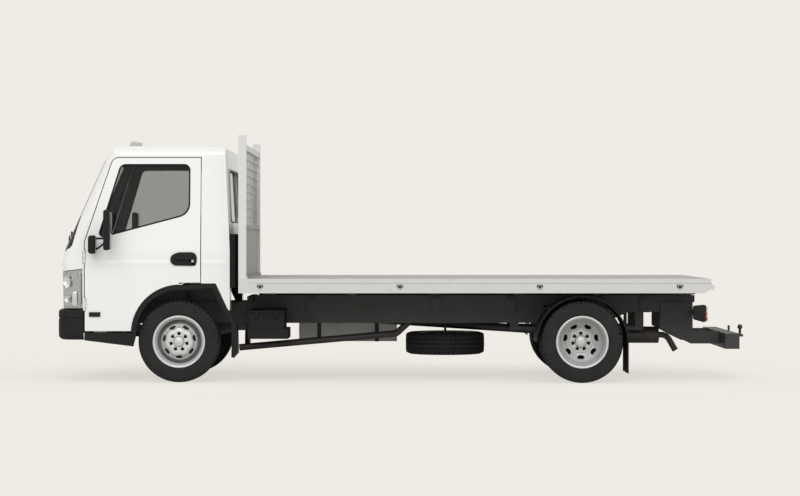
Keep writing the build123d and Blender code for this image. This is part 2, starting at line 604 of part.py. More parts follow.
with BuildPart() as glass_cut:
    with BuildSketch(Plane.YZ.offset(X_FRONT)):
        screen(*SCREEN, 0)
    extrude(amount=FRONT_OVERHANG - 500)
    with BuildSketch(Plane.YZ.offset(CAB_REAR - 200)):
        screen(*REAR_WINDOW, 0)
    extrude(amount=300)
    add(CAB_IN, mode=Mode.SUBTRACT)

with BuildPart() as lamp_cut:
    for side in SIDES:
        with BuildSketch(side_plane(side * (LAMP_IN + 150))):
            headlamp_outline(0)
        extrude(amount=150, both=True)
    add(CAB_IN, mode=Mode.SUBTRACT)

HINGE_LEVELS = (DOOR_BOTTOM + 260, BELT - 60)
HINGE_HALF = 34
HINGE_PIN = 5


def hinge_bar(side, level, ends, radius, mode=Mode.ADD):
    """Upright round bar on a door hinge axis, between two heights about the hinge's level."""
    low, high = ends
    rod((HINGE_X, side * HINGE_Y, level + low), (HINGE_X, side * HINGE_Y, level + high), radius, mode)


with BuildPart() as cab_shell:
    add(CAB_OUT)
    add(cab_space.part, mode=Mode.SUBTRACT)
    side_plate([(X_FRONT - 50, 0), (X_FRONT - 50, PANEL_BOTTOM), (DOOR_FRONT + 340, PANEL_BOTTOM),
                (DOOR_FRONT + 390, ARCH_TOP), (CAB_REAR - 131, ARCH_TOP), (CAB_REAR - 20, ARCH_TOP - 240),
                (CAB_REAR + 60, ARCH_TOP - 300), (CAB_REAR + 60, 0)], (-CAB_WIDTH, CAB_WIDTH),
                mode=Mode.SUBTRACT)
    block((CAB_REAR - 200, CAB_REAR + 10), (-CAB_HALF + 200, CAB_HALF - 200), (0, ARCH_TOP),
          mode=Mode.SUBTRACT)
    for cut in (door_hole, nose_cut, glass_cut, lamp_cut):
        add(cut.part, mode=Mode.SUBTRACT)
    for side in SIDES:
        low_y, high_y = span(side, 230, 280)
        block((PIVOT_X + 14, PIVOT_X + 50), (low_y, high_y), (PIVOT_Z, PANEL_BOTTOM + 20))
        rod((PIVOT_X, low_y, PIVOT_Z), (PIVOT_X, high_y, PIVOT_Z), 28)
    for side in SIDES:
        rod((PIVOT_X, side * 200, PIVOT_Z), (PIVOT_X, side * 300, PIVOT_Z), PIVOT_RADIUS + FIT,
            mode=Mode.SUBTRACT)
        for level in HINGE_LEVELS:
            hinge_bar(side, level, (-HINGE_HALF - 6, HINGE_HALF + 6), HINGE_RADIUS + 6, mode=Mode.SUBTRACT)
            hinge_bar(side, level, (HINGE_HALF + 2, HINGE_HALF + 26), HINGE_RADIUS)
            hinge_bar(side, level, (-HINGE_HALF - 26, -HINGE_HALF - 2), HINGE_RADIUS)
            hinge_bar(side, level, (-HINGE_HALF - 26, HINGE_HALF + 26), HINGE_PIN)
save(cab_shell.part, "cab_shell")

# Front panel between the doors, below the windscreen
with BuildPart() as front_panel:
    block((X_FRONT, DOOR_FRONT - 8), (-CAB_WIDTH, CAB_WIDTH), (PANEL_BOTTOM, BELT))
    add(CAB_OUT, mode=Mode.INTERSECT)
    add(CAB_SKIN, mode=Mode.SUBTRACT)
    add(lamp_cut.part, mode=Mode.SUBTRACT)
    block((X_FRONT, CAB_NOSE + 200), (-GRILLE[0], GRILLE[0]), GRILLE[1:], mode=Mode.SUBTRACT)
    for side in SIDES:
        for level in HINGE_LEVELS:
            hinge_bar(side, level, (-HINGE_HALF - 32, HINGE_HALF + 32), HINGE_RADIUS + 6, mode=Mode.SUBTRACT)
save(front_panel.part, "front_panel")

# Grille with level slats
with BuildPart() as grille:
    block((X_FRONT, CAB_NOSE + 200), (-GRILLE[0], GRILLE[0]), GRILLE[1:])
    add(CAB_OUT, mode=Mode.INTERSECT)
    add(CAB_SKIN, mode=Mode.SUBTRACT)
    for slot in range(3):
        slot_z = GRILLE[1] + 18 + slot * 48
        block((X_FRONT, CAB_NOSE + 200), (-GRILLE[0] + 25, GRILLE[0] - 25), (slot_z, slot_z + 32),
              mode=Mode.SUBTRACT)
save(grille.part, "grille")

# Headlamps filling the front corners
LAMP_BACK = cab_form(CAB_WALL - 5)
with BuildPart() as headlamps:
    for side in SIDES:
        with BuildSketch(side_plane(side * (LAMP_IN + 150))):
            headlamp_outline(FIT)
        extrude(amount=150 - FIT, both=True)
    add(CAB_OUT, mode=Mode.INTERSECT)
    add(LAMP_BACK, mode=Mode.SUBTRACT)
save(headlamps.part, "headlamps")

# Windscreen and rear window
GLASS_OUT = cab_form(20)
GLASS_IN = cab_form(26)
with BuildPart() as cab_glass:
    with BuildSketch(Plane.YZ.offset(X_FRONT)):
        screen(*SCREEN, FIT)
    extrude(amount=FRONT_OVERHANG - 500)
    with BuildSketch(Plane.YZ.offset(CAB_REAR - 200)):
        screen(*REAR_WINDOW, FIT)
    extrude(amount=300)
    add(GLASS_OUT, mode=Mode.INTERSECT)
    add(GLASS_IN, mode=Mode.SUBTRACT)
save(cab_glass.part, "cab_glass")

# Black lower trim each side: sill step, wheel arch lip and front flap, and the intake duct on the rear wall
LIP = 42
LIP_FOOT = 12
SILL_END = X_FRONT_AXLE - 480
INTAKE_TOP = BELT + 152
with BuildPart() as cab_trim:
    for side in SIDES:
        low_y, high_y = span(side, CAB_HALF - 65, CAB_HALF - 2)
        arch_left = ARCH_X - ARCH_RADIUS
        with BuildSketch(side_plane(low_y)):
            with BuildLine():
                ThreePointArc(
                    (arch_left, ARCH_Z),
                    (ARCH_X - ARCH_RADIUS * math.sqrt(0.5), ARCH_Z + ARCH_RADIUS * math.sqrt(0.5)),
                    (ARCH_X, ARCH_Z + ARCH_RADIUS),
                )
                Polyline((ARCH_X, ARCH_Z + ARCH_RADIUS), (CAB_REAR - 131, ARCH_TOP),
                         (CAB_REAR - 20, ARCH_TOP - 240),
                         (CAB_REAR + 66, ARCH_TOP - 385), (CAB_REAR + 72, 270), (CAB_REAR + 40, 233),
                         (CAB_REAR + 15, 240), (CAB_REAR + 20, ARCH_TOP - 385),
                         (CAB_REAR - 64, ARCH_TOP - 250),
                         (CAB_REAR - 160, ARCH_TOP - LIP), (ARCH_X, ARCH_Z + ARCH_RADIUS - LIP))
                ThreePointArc(
                    (ARCH_X, ARCH_Z + ARCH_RADIUS - LIP),
                    (ARCH_X - (ARCH_RADIUS - LIP) * math.sqrt(0.5),
                     ARCH_Z + (ARCH_RADIUS - LIP) * math.sqrt(0.5)),
                    (arch_left + LIP, ARCH_Z),
                )
                Polyline((arch_left + LIP, ARCH_Z), (arch_left + LIP_FOOT, 340), (arch_left - 20, 345),
                         (arch_left - 20, ARCH_Z), (arch_left, ARCH_Z))
            make_face()
        extrude(amount=low_y - high_y)
        side_plate([(DOOR_FRONT + 6, 397), (DOOR_FRONT + 6, DOOR_BOTTOM - 8),
                    (arch_left - 20, DOOR_BOTTOM - 8),
                    (arch_left - 20, 345)], span(side, CAB_HALF - 65, CAB_HALF - 2))
        side_plate([(DOOR_FRONT + 6, 397), (DOOR_FRONT + 6, DOOR_BOTTOM - 8), (SILL_END, DOOR_BOTTOM - 8),
                    (SILL_END, 345)], span(side, CAB_HALF - 215, CAB_HALF - 60))
        side_plate([(DOOR_FRONT + 6, DOOR_BOTTOM - 30), (DOOR_FRONT + 6, PANEL_BOTTOM),
                    (DOOR_FRONT + 60, PANEL_BOTTOM),
                    (DOOR_FRONT + 60, DOOR_BOTTOM - 30)], span(side, CAB_HALF - 215, CAB_HALF - 75))
        side_plate([(CAB_REAR + 66, ARCH_TOP - 385), (CAB_REAR + 72, 270), (CAB_REAR + 58, 270),
                    (CAB_REAR + 52, ARCH_TOP - 385)], span(side, CAB_HALF - 225, CAB_HALF - 60))
    with BuildSketch(Plane.XY.offset(ARCH_TOP - 40)):
        with Locations((CAB_REAR + 30, -CAB_HALF + 205)):
            Rectangle(60, 330)
        fillet(vertices().group_by(Axis.X)[-1], radius=25)
    extrude(amount=INTAKE_TOP - ARCH_TOP + 40)
save(cab_trim.part, "cab_trim")

# Roof marker lamps
with BuildPart() as roof_lamps:
    for side in SIDES:
        side_plate([(CAB_NOSE + 640, CAB_ROOF - 60), (CAB_NOSE + 655, CAB_ROOF + 22),
                    (CAB_NOSE + 780, CAB_ROOF + 2),
                    (CAB_NOSE + 780, CAB_ROOF - 60)], span(side, CAB_HALF - 330, CAB_HALF - 250))
    add(CAB_OUT, mode=Mode.SUBTRACT)
save(roof_lamps.part, "roof_lamps")

# Seats: driver's seat on the right, double bench on the left
SEAT_REAR = CAB_REAR - CAB_WALL - 70
with BuildPart() as seats:
    for low_y, high_y in ((-CAB_HALF + 140, 230), (310, CAB_HALF - 140)):
        side_plate([(SEAT_REAR - 600, SEAT_FLOOR), (SEAT_REAR - 610, SEAT_FLOOR + 130),
                    (SEAT_REAR - 190, SEAT_FLOOR + 110),
                    (SEAT_REAR - 120, SEAT_FLOOR + 620), (SEAT_REAR - 20, SEAT_FLOOR + 620),
                    (SEAT_REAR - 60, SEAT_FLOOR)],
                   (low_y, high_y))
        for post in range(round((high_y - low_y) / 500)):
            post_y = low_y + (post + 0.5) * (high_y - low_y) / round((high_y - low_y) / 500)
            block((SEAT_REAR - 110, SEAT_REAR - 20), (post_y - 120, post_y + 120),
                  (SEAT_FLOOR + 610, SEAT_FLOOR + 800))
save(seats.part, "seats")

# Dashboard with the steering column
WHEEL_Y = 430
COLUMN_TILT = math.radians(35)
COLUMN_DIR = Vector(math.sin(COLUMN_TILT), 0, math.cos(COLUMN_TILT))
WHEEL_CENTRE = Vector(DOOR_FRONT + 300, WHEEL_Y, BELT + 95)


def along_column(distance):
    """Point on the steering axis, measured up from the wheel centre."""
    return WHEEL_CENTRE + COLUMN_DIR * distance


with BuildPart() as dashboard:
    side_plate([(DOOR_FRONT - 90, BELT - 210), (DOOR_FRONT - 90, BELT + 20), (DOOR_FRONT + 30, BELT + 60),
                (DOOR_FRONT + 170, BELT + 30), (DOOR_FRONT + 190, BELT - 60), (DOOR_FRONT + 80, BELT - 210)],
               (-CAB_HALF + 120, CAB_HALF - 120))
    for side in SIDES:
        block((DOOR_FRONT - 90, DOOR_FRONT), span(side, CAB_HALF - 300, CAB_HALF - 200),
              (FLOOR_TOP, BELT - 200))
    rod(along_column(-330), along_column(-45), 32)
    rod(along_column(-50), along_column(-5), 12)
save(dashboard.part, "dashboard")

# Steering wheel
with BuildPart() as steering_wheel:
    wheel_plane = Plane(origin=WHEEL_CENTRE, x_dir=(0, 1, 0), z_dir=COLUMN_DIR)
    with BuildSketch(Plane(origin=WHEEL_CENTRE, x_dir=(0, 1, 0), z_dir=COLUMN_DIR.cross(Vector(0, 1, 0)))):
        with Locations((205, 0)):
            RegularPolygon(14, 8)
    revolve(axis=Axis(WHEEL_CENTRE, COLUMN_DIR))
    with BuildSketch(wheel_plane.offset(-38)):
        Circle(55)
    extrude(amount=45)
    with BuildSketch(wheel_plane.offset(-10)):
        for turn in (0, 180, 270):
            with Locations(Rotation(0, 0, turn)):
                with Locations((120, 0)):
                    Rectangle(170, 30)
    extrude(amount=14)
    rod(along_column(-50), along_column(-4), 12 + FIT, mode=Mode.SUBTRACT)
save(steering_wheel.part, "steering_wheel")

# Doors, their glass and their fittings
DOOR_IN = cab_form(CAB_WALL - 6)
MIRROR_X = DOOR_FRONT + 211


def door_panel(side):
    """Door as thick as the cab wall, with window opening and moving hinge halves."""
    with BuildPart() as door:
        with BuildSketch(side_plane(side * CAB_HALF)):
            door_outline(DOOR_GAP)
        extrude(amount=180, both=True)
        add(CAB_OUT, mode=Mode.INTERSECT)
        add(DOOR_IN, mode=Mode.SUBTRACT)
        with BuildSketch(side_plane(side * CAB_HALF)):
            door_window(0)
        extrude(amount=180, both=True, mode=Mode.SUBTRACT)
        for level in HINGE_LEVELS:
            hinge_bar(side, level, (-HINGE_HALF - 32, HINGE_HALF + 32), HINGE_RADIUS + 6, mode=Mode.SUBTRACT)
            hinge_bar(side, level, (-HINGE_HALF, HINGE_HALF), HINGE_RADIUS)
            block((HINGE_X, HINGE_X + HINGE_RADIUS + 12), span(side, CAB_HALF - 20, CAB_HALF - 4),
                  (level - HINGE_HALF, level + HINGE_HALF))
            hinge_bar(side, level, (-HINGE_HALF, HINGE_HALF), HINGE_PIN + FIT, mode=Mode.SUBTRACT)
    return door.part


def door_glass(side):
    """Single door window pane."""
    with BuildPart() as pane:
        with BuildSketch(side_plane(side * CAB_HALF)):
            door_window(FIT)
        extrude(amount=180, both=True)
        add(GLASS_OUT, mode=Mode.INTERSECT)
        add(GLASS_IN, mode=Mode.SUBTRACT)
    return pane.part


def door_fittings(side):
    """Mirrors on their bracket, pull handle and side marker."""
    with BuildPart() as fittings:
        side_plate([(MIRROR_X, BELT - 6), (MIRROR_X, BELT + 383), (MIRROR_X + 65, BELT + 370),
                    (MIRROR_X + 65, BELT + 6)],
                   span(side, CAB_HALF + 90, CAB_HALF + 260))
        side_plate([(MIRROR_X - 156, BELT - 35), (MIRROR_X - 156, BELT + 142), (MIRROR_X - 72, BELT + 142),
                    (MIRROR_X - 72, BELT - 35)], span(side, CAB_HALF + 50, CAB_HALF + 160))
        for level in (BELT + 10, BELT + 110):
            block((MIRROR_X - 90, MIRROR_X + 20), span(side, CAB_HALF + 95, CAB_HALF + 115),
                  (level - 10, level + 10))
            block((MIRROR_X - 130, MIRROR_X - 110), span(side, CAB_HALF - 12, CAB_HALF + 60),
                  (level - 10, level + 10))
        side_plate([(DOOR_REAR - 290, BELT - 60), (DOOR_REAR - 270, BELT - 20), (DOOR_REAR - 60, BELT - 20),
                    (DOOR_REAR - 38, BELT - 80), (DOOR_REAR - 60, BELT - 147), (DOOR_REAR - 150, BELT - 130)],
                   span(side, CAB_HALF - 10, CAB_HALF + 26))
        block((DOOR_FRONT + 48, DOOR_FRONT + 153), span(side, CAB_HALF - 20, CAB_HALF + 8),
              (DOOR_BOTTOM + 140, DOOR_BOTTOM + 187))
        add(CAB_OUT, mode=Mode.SUBTRACT)
    return fittings.part


for side, name in ((-1, "left"), (1, "right")):
    save(door_panel(side), f"door_{name}")
    save(door_glass(side), f"door_glass_{name}")
    save(door_fittings(side), f"door_fittings_{name}")

# Steering knuckles: fork about the kingpin, stub axle and steering arm
ARM_Z = AXLE_Z - 96
STUB_RADIUS = 30


def knuckle(side):
    """Knuckle on one side."""
    pin_y = side * KINGPIN_Y
    with BuildPart() as piece:
        rod((X_FRONT_AXLE, pin_y, EYE_LOW - 36), (X_FRONT_AXLE, pin_y, EYE_HIGH + 36), PIN_RADIUS)
        for low in (EYE_LOW - 36, EYE_HIGH + 6):
            rod((X_FRONT_AXLE, pin_y, low), (X_FRONT_AXLE, pin_y, low + 30), 36)
            block((X_FRONT_AXLE - 36, X_FRONT_AXLE + 36), span(side, KINGPIN_Y, KINGPIN_Y + 72),
                  (low, low + 30))
        block((X_FRONT_AXLE - 36, X_FRONT_AXLE + 36), span(side, KINGPIN_Y + 52, KINGPIN_Y + 72),
              (EYE_LOW - 36, EYE_HIGH + 36))
        rod((X_FRONT_AXLE, side * (KINGPIN_Y + 60), AXLE_Z),
            (X_FRONT_AXLE, side * (FRONT_WHEEL_Y + 65), AXLE_Z), STUB_RADIUS)
        block((X_FRONT_AXLE + 20, X_FRONT_AXLE + STEER_ARM), (pin_y - 16, pin_y + 16),
              (ARM_Z + 12, ARM_Z + 36))
        rod((X_FRONT_AXLE + STEER_ARM, pin_y, ARM_Z + 12), (X_FRONT_AXLE + STEER_ARM, pin_y, ARM_Z + 36), 20)
        rod((X_FRONT_AXLE + STEER_ARM, pin_y, ARM_Z - 22), (X_FRONT_AXLE + STEER_ARM, pin_y, ARM_Z + 20), 9)
    return piece.part


for side, name in ((-1, "left"), (1, "right")):
    save(knuckle(side), f"knuckle_{name}")

# Tie rod below the steering arms
with BuildPart() as tie_rod:
    rod_x = X_FRONT_AXLE + STEER_ARM
    rod((rod_x, -KINGPIN_Y + 15, ARM_Z - 8), (rod_x, KINGPIN_Y - 15, ARM_Z - 8), 13)
    for side in SIDES:
        rod((rod_x, side * KINGPIN_Y, ARM_Z - 22), (rod_x, side * KINGPIN_Y, ARM_Z + 6), 20)
    for side in SIDES:
        rod((rod_x, side * KINGPIN_Y, ARM_Z - 23), (rod_x, side * KINGPIN_Y, ARM_Z + 7), 9 + FIT,
            mode=Mode.SUBTRACT)
save(tie_rod.part, "tie_rod")


def wheel_plane_at(axle_x, y, side):
    """Plane of a wheel's half section: sketch x is the radius, sketch y points outwards."""
    return Plane(origin=(axle_x, y, AXLE_Z), x_dir=(side, 0, 0), z_dir=(0, 0, 1))


def vents(axle_x, y, side, radius, size):
    """Hand holes through a wheel disc, in the current part."""
    with BuildSketch(Plane(origin=(axle_x, y, AXLE_Z), x_dir=(-side, 0, 0), z_dir=(0, side, 0))) as holes:
        with PolarLocations(radius, STUD_COUNT, start_angle=-90):
            RectangleRounded(size[1], size[0], size[1] / 2 - 0.5)
    extrude(holes.sketch, amount=70, both=True, mode=Mode.SUBTRACT)


def tyres(axle_x, centres, side):
    """Tyres of one wheel, single or twin."""
    with BuildPart() as rubber:
        for centre in centres:
            revolve(tyre_section(wheel_plane_at(axle_x, side * centre, side)),
                    axis=Axis((axle_x, 0, AXLE_Z), (0, 1, 0)))
    return rubber.part


def front_rim(side):
    """Front wheel: rim, convex disc and hub turning on the stub axle."""
    half = RIM_WIDTH / 2
    with BuildPart() as wheel:
        with BuildSketch(wheel_plane_at(X_FRONT_AXLE, side * FRONT_WHEEL_Y, side)):
            Polygon((0, 112), (46, 112), (46, 84), (118, 84), (RIM_BORE, 40), (RIM_BORE, half),
                    (RIM_RADIUS, half),
                    (RIM_RADIUS, -half), (RIM_BORE, -half), (RIM_BORE, 28), (122, 72), (60, 72), (60, -55),
                    (STUB_RADIUS + FIT, -55), (STUB_RADIUS + FIT, 70), (0, 70), align=None)
        revolve(axis=Axis((X_FRONT_AXLE, 0, AXLE_Z), (0, 1, 0)))
        vents(X_FRONT_AXLE, side * (FRONT_WHEEL_Y + 60), side, 140, (62, 26))
    return wheel.part


def rear_rims(side):
    """Twin rear wheels: two rims on dished discs back to back, with the hub."""
    half = RIM_WIDTH / 2
    gap = TWIN_SPACING / 2
    with BuildPart() as wheel:
        with BuildSketch(wheel_plane_at(X_REAR_AXLE, side * REAR_MID_Y, side)):
            Polygon((0, 80), (62, 80), (72, 12), (128, 12), (RIM_BORE, 67), (RIM_BORE, gap + half),
                    (RIM_RADIUS, gap + half), (RIM_RADIUS, gap - half), (RIM_BORE, gap - half),
                    (RIM_BORE, 53),
                    (140, 0), (RIM_BORE, -53), (RIM_BORE, half - gap), (RIM_RADIUS, half - gap),
                    (RIM_RADIUS, -half - gap), (RIM_BORE, -half - gap), (RIM_BORE, -67), (128, -12),
                    (80, -12),
                    (80, -215), (AXLE_TUBE + FIT, -215), (AXLE_TUBE + FIT, -30), (0, -30), align=None)
        revolve(axis=Axis((X_REAR_AXLE, 0, AXLE_Z), (0, 1, 0)))
        vents(X_REAR_AXLE, side * REAR_MID_Y, side, 158, (66, 30))
    return wheel.part


for side, name in ((-1, "left"), (1, "right")):
    save(tyres(X_FRONT_AXLE, (FRONT_WHEEL_Y,), side), f"front_tyre_{name}")
    save(front_rim(side), f"front_rim_{name}")
    save(tyres(X_REAR_AXLE, (OUTER_Y, INNER_Y), side), f"rear_tyres_{name}")
    save(rear_rims(side), f"rear_rims_{name}")
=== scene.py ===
import math

import bmesh
import bpy
from bpy.props import FloatProperty, FloatVectorProperty, IntProperty, PointerProperty
from mathutils import Matrix, Vector


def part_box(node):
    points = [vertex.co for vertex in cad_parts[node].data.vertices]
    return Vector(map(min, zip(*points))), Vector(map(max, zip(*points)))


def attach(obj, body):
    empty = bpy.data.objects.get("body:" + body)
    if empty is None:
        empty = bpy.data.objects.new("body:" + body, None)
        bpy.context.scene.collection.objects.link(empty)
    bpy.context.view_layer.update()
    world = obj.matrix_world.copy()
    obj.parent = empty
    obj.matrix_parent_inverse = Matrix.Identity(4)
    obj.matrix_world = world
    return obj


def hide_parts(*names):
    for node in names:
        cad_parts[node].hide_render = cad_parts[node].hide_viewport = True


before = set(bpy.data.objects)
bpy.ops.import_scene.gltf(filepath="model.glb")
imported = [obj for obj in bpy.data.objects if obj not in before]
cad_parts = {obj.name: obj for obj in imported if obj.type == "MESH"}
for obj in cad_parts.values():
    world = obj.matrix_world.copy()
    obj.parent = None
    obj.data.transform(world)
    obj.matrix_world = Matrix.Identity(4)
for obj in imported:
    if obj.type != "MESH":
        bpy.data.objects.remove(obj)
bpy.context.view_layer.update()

bl_info = {
    "name": "Flatbed Truck Dressing",
    "version": (1, 0, 0),
    "blender": (4, 5, 0),
    "location": "View3D > Sidebar > Truck",
    "description": "Finishes and fine pieces of a flatbed truck, built round its packed solids",
    "category": "Object",
}

SIDES = ((-1, "left"), (1, "right"))
QUARTER_TURN = [math.radians(step * 10.0) for step in range(10)]
# Steps of an outline's corner, and of a bend in the bumper's section
ARC_STEPS, BEND_STEPS = 6, 5

# Cab outside at four heights: height, half width, nose set back, front bulge, corner radius
CAB_NOSE = -3.262
CAB_LEVELS = (
    (0.470, 0.962, 0.012, 0.045, 0.120),
    (1.120, 0.975, 0.000, 0.045, 0.120),
    (1.240, 0.973, 0.028, 0.045, 0.120),
    (2.300, 0.881, 0.477, 0.060, 0.110),
)
CAB_CENTRE = (-2.40, 0.0, 1.55)
# The rear window's reveal is painted like the outside
REVEAL_FRONT, REVEAL_FOOT = -1.697, 1.45
FRONT_AXLE_X, REAR_AXLE_X, AXLE_Z = -2.117, 1.653, 0.383
# Headboard: inner face of its posts, foot and top of its mesh
POST_INSIDE = 1.0495
GUARD_FOOT, GUARD_TOP = 1.482, 2.172
# Rings of painted shade in the wheels' hollows: inner radius, outer radius, share
FRONT_SHADE_RINGS = ((0.172, 0.203, 0.90), (0.128, 0.172, 0.30), (0.044, 0.052, 0.35))
REAR_SHADE_RINGS = ((0.128, 0.226, 0.26), (0.108, 0.124, 0.18), (0.050, 0.057, 0.35))
RING_FADE = 0.004


def cab_level(z):
    """Half width, nose set back, bulge and corner of the cab's outside at a height."""
    for low, high in zip(CAB_LEVELS, CAB_LEVELS[1:]):
        if z <= high[0]:
            break
    share = (z - low[0]) / (high[0] - low[0])
    return [a + share * (b - a) for a, b in zip(low[1:], high[1:])]


def bowed(nose, chord, bulge, y):
    """X at a width on an arc whose middle stands out by its bulge."""
    radius = (chord**2 + bulge**2) / (2 * bulge)
    return nose + radius - math.sqrt(radius**2 - y**2)


def cab_front(y, z):
    """X of the cab's front surface at a width and a height."""
    half, back, bulge, corner = cab_level(z)
    chord, reach = half - corner, abs(y)
    if reach <= chord:
        return bowed(CAB_NOSE + back, chord, bulge, reach)
    return CAB_NOSE + back + bulge + corner - math.sqrt(max(corner**2 - (reach - chord) ** 2, 0.0))


class Signal:
    """A shader socket that takes part in sums, so that a mask reads as an expression."""

    def __init__(self, nodes, socket):
        self.nodes = nodes
        self.socket = socket

    def join(self, operation, first, second):
        return self.nodes.node("ShaderNodeMath", {"operation": operation}, {0: first, 1: second})

    def __add__(self, other):
        return self.join("ADD", self, other)

    def __radd__(self, other):
        return self.join("ADD", other, self)

    def __sub__(self, other):
        return self.join("SUBTRACT", self, other)

    def __rsub__(self, other):
        return self.join("SUBTRACT", other, self)

    def __mul__(self, other):
        return self.join("MULTIPLY", self, other)

    def __rmul__(self, other):
        return self.join("MULTIPLY", other, self)

    def __gt__(self, other):
        return self.join("GREATER_THAN", self, other)

    def __lt__(self, other):
        return self.join("LESS_THAN", self, other)


class Nodes:
    """The node tree of a material or world, filled node by node."""

    def __init__(self, owner):
        owner.use_nodes = True
        self.tree = owner.node_tree
        self.tree.nodes.clear()

    def node(self, kind, settings=None, sockets=None, output=0):
        """Add a node with its settings and the values or links of its sockets."""
        made = self.tree.nodes.new(kind)
        for name, value in (settings or {}).items():
            setattr(made, name, value)
        for name, value in (sockets or {}).items():
            if isinstance(value, Signal):
                self.tree.links.new(value.socket, made.inputs[name])
            else:
                made.inputs[name].default_value = value
        return Signal(self, made.outputs[output]) if len(made.outputs) else None


class Finish(Nodes):
    """A material put together from nodes."""

    def __init__(self, name):
        self.material = bpy.data.materials.new(name)
        super().__init__(self.material)
        self.place = self.node("ShaderNodeTexCoord", output="Object")

    def noise(self, scale, detail=3.0, stretch=(1.0, 1.0, 1.0)):
        """Cloudy values about one half, finer with a higher scale."""
        spread = self.node("ShaderNodeMapping", {}, {"Vector": self.place, "Scale": stretch})
        return self.node("ShaderNodeTexNoise", {}, {"Vector": spread, "Scale": scale, "Detail": detail})

    def bands(self, direction, scale, distortion=0.0):
        """Soft stripes that follow each other in one direction."""
        return self.node("ShaderNodeTexWave", {"wave_type": "BANDS", "bands_direction": direction}, {
            "Vector": self.place, "Scale": scale, "Distortion": distortion}, output="Fac")

    def relief(self, height, depth, strength):
        """Normal of a surface raised by a height."""
        return self.node("ShaderNodeBump", {}, {"Strength": strength, "Distance": depth, "Height": height})

    def grain(self, scale, depth, strength):
        """Normal of a finely grained surface."""
        return self.relief(self.noise(scale, 2.0), depth, strength)

    def blend(self, share, first, second):
        """Colour between two colours."""
        return self.node("ShaderNodeMix", {"data_type": "RGBA"}, {0: share, 6: first, 7: second}, output=2)

    def ramp(self, value, low, high):
        """Smooth step from 0 at the first value to 1 at the second."""
        return self.node("ShaderNodeMapRange", {"interpolation_type": "SMOOTHSTEP"}, {
            "Value": value, "From Min": low, "From Max": high})

    def vector(self, operation, *values, output="Vector"):
        """Vector maths on one or two vectors."""
        return self.node("ShaderNodeVectorMath", {"operation": operation}, dict(enumerate(values)), output)

    def axis(self, letter):
        """One object coordinate."""
        return self.node("ShaderNodeSeparateXYZ", {}, {0: self.place}, output=letter)

    def principled(self, **sockets):
        """Shader with its sockets named with underscores for spaces."""
        named = {name.replace("_", " "): value for name, value in sockets.items()}
        return self.node("ShaderNodeBsdfPrincipled", {}, named)

    def surface(self, **sockets):
        """Close the material with one shader."""
        return self.close(self.principled(**sockets))

    def close(self, shader):
        """Send a shader to the material's output."""
        self.node("ShaderNodeOutputMaterial", {}, {"Surface": shader})
        return self.material


def grey(level):
    return (level, level, level)


def rgba(colour):
    return (*tuple(colour)[:3], 1.0)


def shade(colour, factor):
    return rgba([channel * factor for channel in tuple(colour)[:3]])


def cab_paint(name, colour, inner_shade):
    """Gloss paint outside, and a near-black painted shade on faces that look into the cab."""
    f = Finish(name)
    dust = f.ramp(f.axis("Z"), 0.95, 0.45) * f.noise(6.0, 5.0) * 0.10
    tone = f.blend(f.noise(1.3) * 0.5, rgba(colour), shade(colour, 0.96))
    dusty = f.blend(dust, tone, (0.42, 0.38, 0.32, 1.0))
    outward = f.vector("SUBTRACT", f.place, CAB_CENTRE)
    facing = f.node("ShaderNodeTexCoord", output="Normal")
    # Painted shade: faces turned towards the cab's middle, such as the inside of the shell and the walls of its
    # openings, are darkened to near black; the rear window's reveal is left out
    inside = f.vector("DOT_PRODUCT", outward, facing, output="Value") < 0.0
    inside *= 1.0 - (f.axis("X") > REVEAL_FRONT) * (f.axis("Z") > REVEAL_FOOT)
    return f.surface(
        Base_Color=f.blend(inside, dusty, rgba(inner_shade)),
        Roughness=0.30 + inside * 0.4 + f.noise(40.0) * 0.06,
        Coat_Weight=0.5 * (1.0 - inside),
        Coat_Roughness=0.06,
        Normal=f.grain(260.0, 0.0004, 0.15),
    )


def moulded(name, colour, rough=0.55, grit=900.0):
    """Grained moulded plastic with a little dust."""
    f = Finish(name)
    dust = f.ramp(f.noise(7.0, 5.0), 0.45, 0.8) * 0.22
    return f.surface(
        Base_Color=f.blend(dust, rgba(colour), shade(colour, 2.2)),
        Roughness=rough + f.noise(30.0) * 0.15,
        Specular_IOR_Level=0.2,
        Normal=f.grain(grit, 0.0006, 0.35),
    )


def satin_metal(name, colour, metal=0.0, rough=0.45, wear=(0.20, 0.16, 0.12), share=0.18, scale=5.0):
    """Painted or bare metal with soft patches of wear."""
    f = Finish(name)
    patch = f.ramp(f.noise(scale, 6.0), 0.52, 0.78) * share
    fine = f.noise(120.0, 3.0)
    return f.surface(
        Base_Color=f.blend(patch, f.blend(fine * 0.35, rgba(colour), shade(colour, 0.82)), rgba(wear)),
        Metallic=metal,
        Roughness=rough + patch * 0.6 + fine * 0.12 - 0.06,
        Normal=f.grain(320.0, 0.0005, 0.25),
    )


def wheel_paint(name, colour, axle_x, rings):
    """Silver paint with a little dust, and rings of painted shade in its hollows: inner radius, outer radius and
    share of each ring.
    """
    f = Finish(name)
    arm = f.vector("SUBTRACT", f.place, (axle_x, 0.0, AXLE_Z))
    radius = f.vector("LENGTH", f.vector("MULTIPLY", arm, (1.0, 0.0, 1.0)), output="Value")
    dust = f.noise(40.0, 5.0) * 0.08
    # Each ring darkens the paint towards near black: painted shade in the grooves and dishes of the disc
    for inner, outer, share in rings:
        begins = f.ramp(radius, inner - RING_FADE, inner + RING_FADE)
        dust += begins * f.ramp(radius, outer + RING_FADE, outer - RING_FADE) * share
    dust *= 0.8 + f.noise(9.0, 4.0) * 0.4
    return f.surface(
        Base_Color=f.blend(dust, rgba(colour), shade(colour, 0.10)),
        Metallic=0.25,
        Roughness=0.34 + dust * 0.4,
        Normal=f.grain(320.0, 0.0005, 0.25),
    )


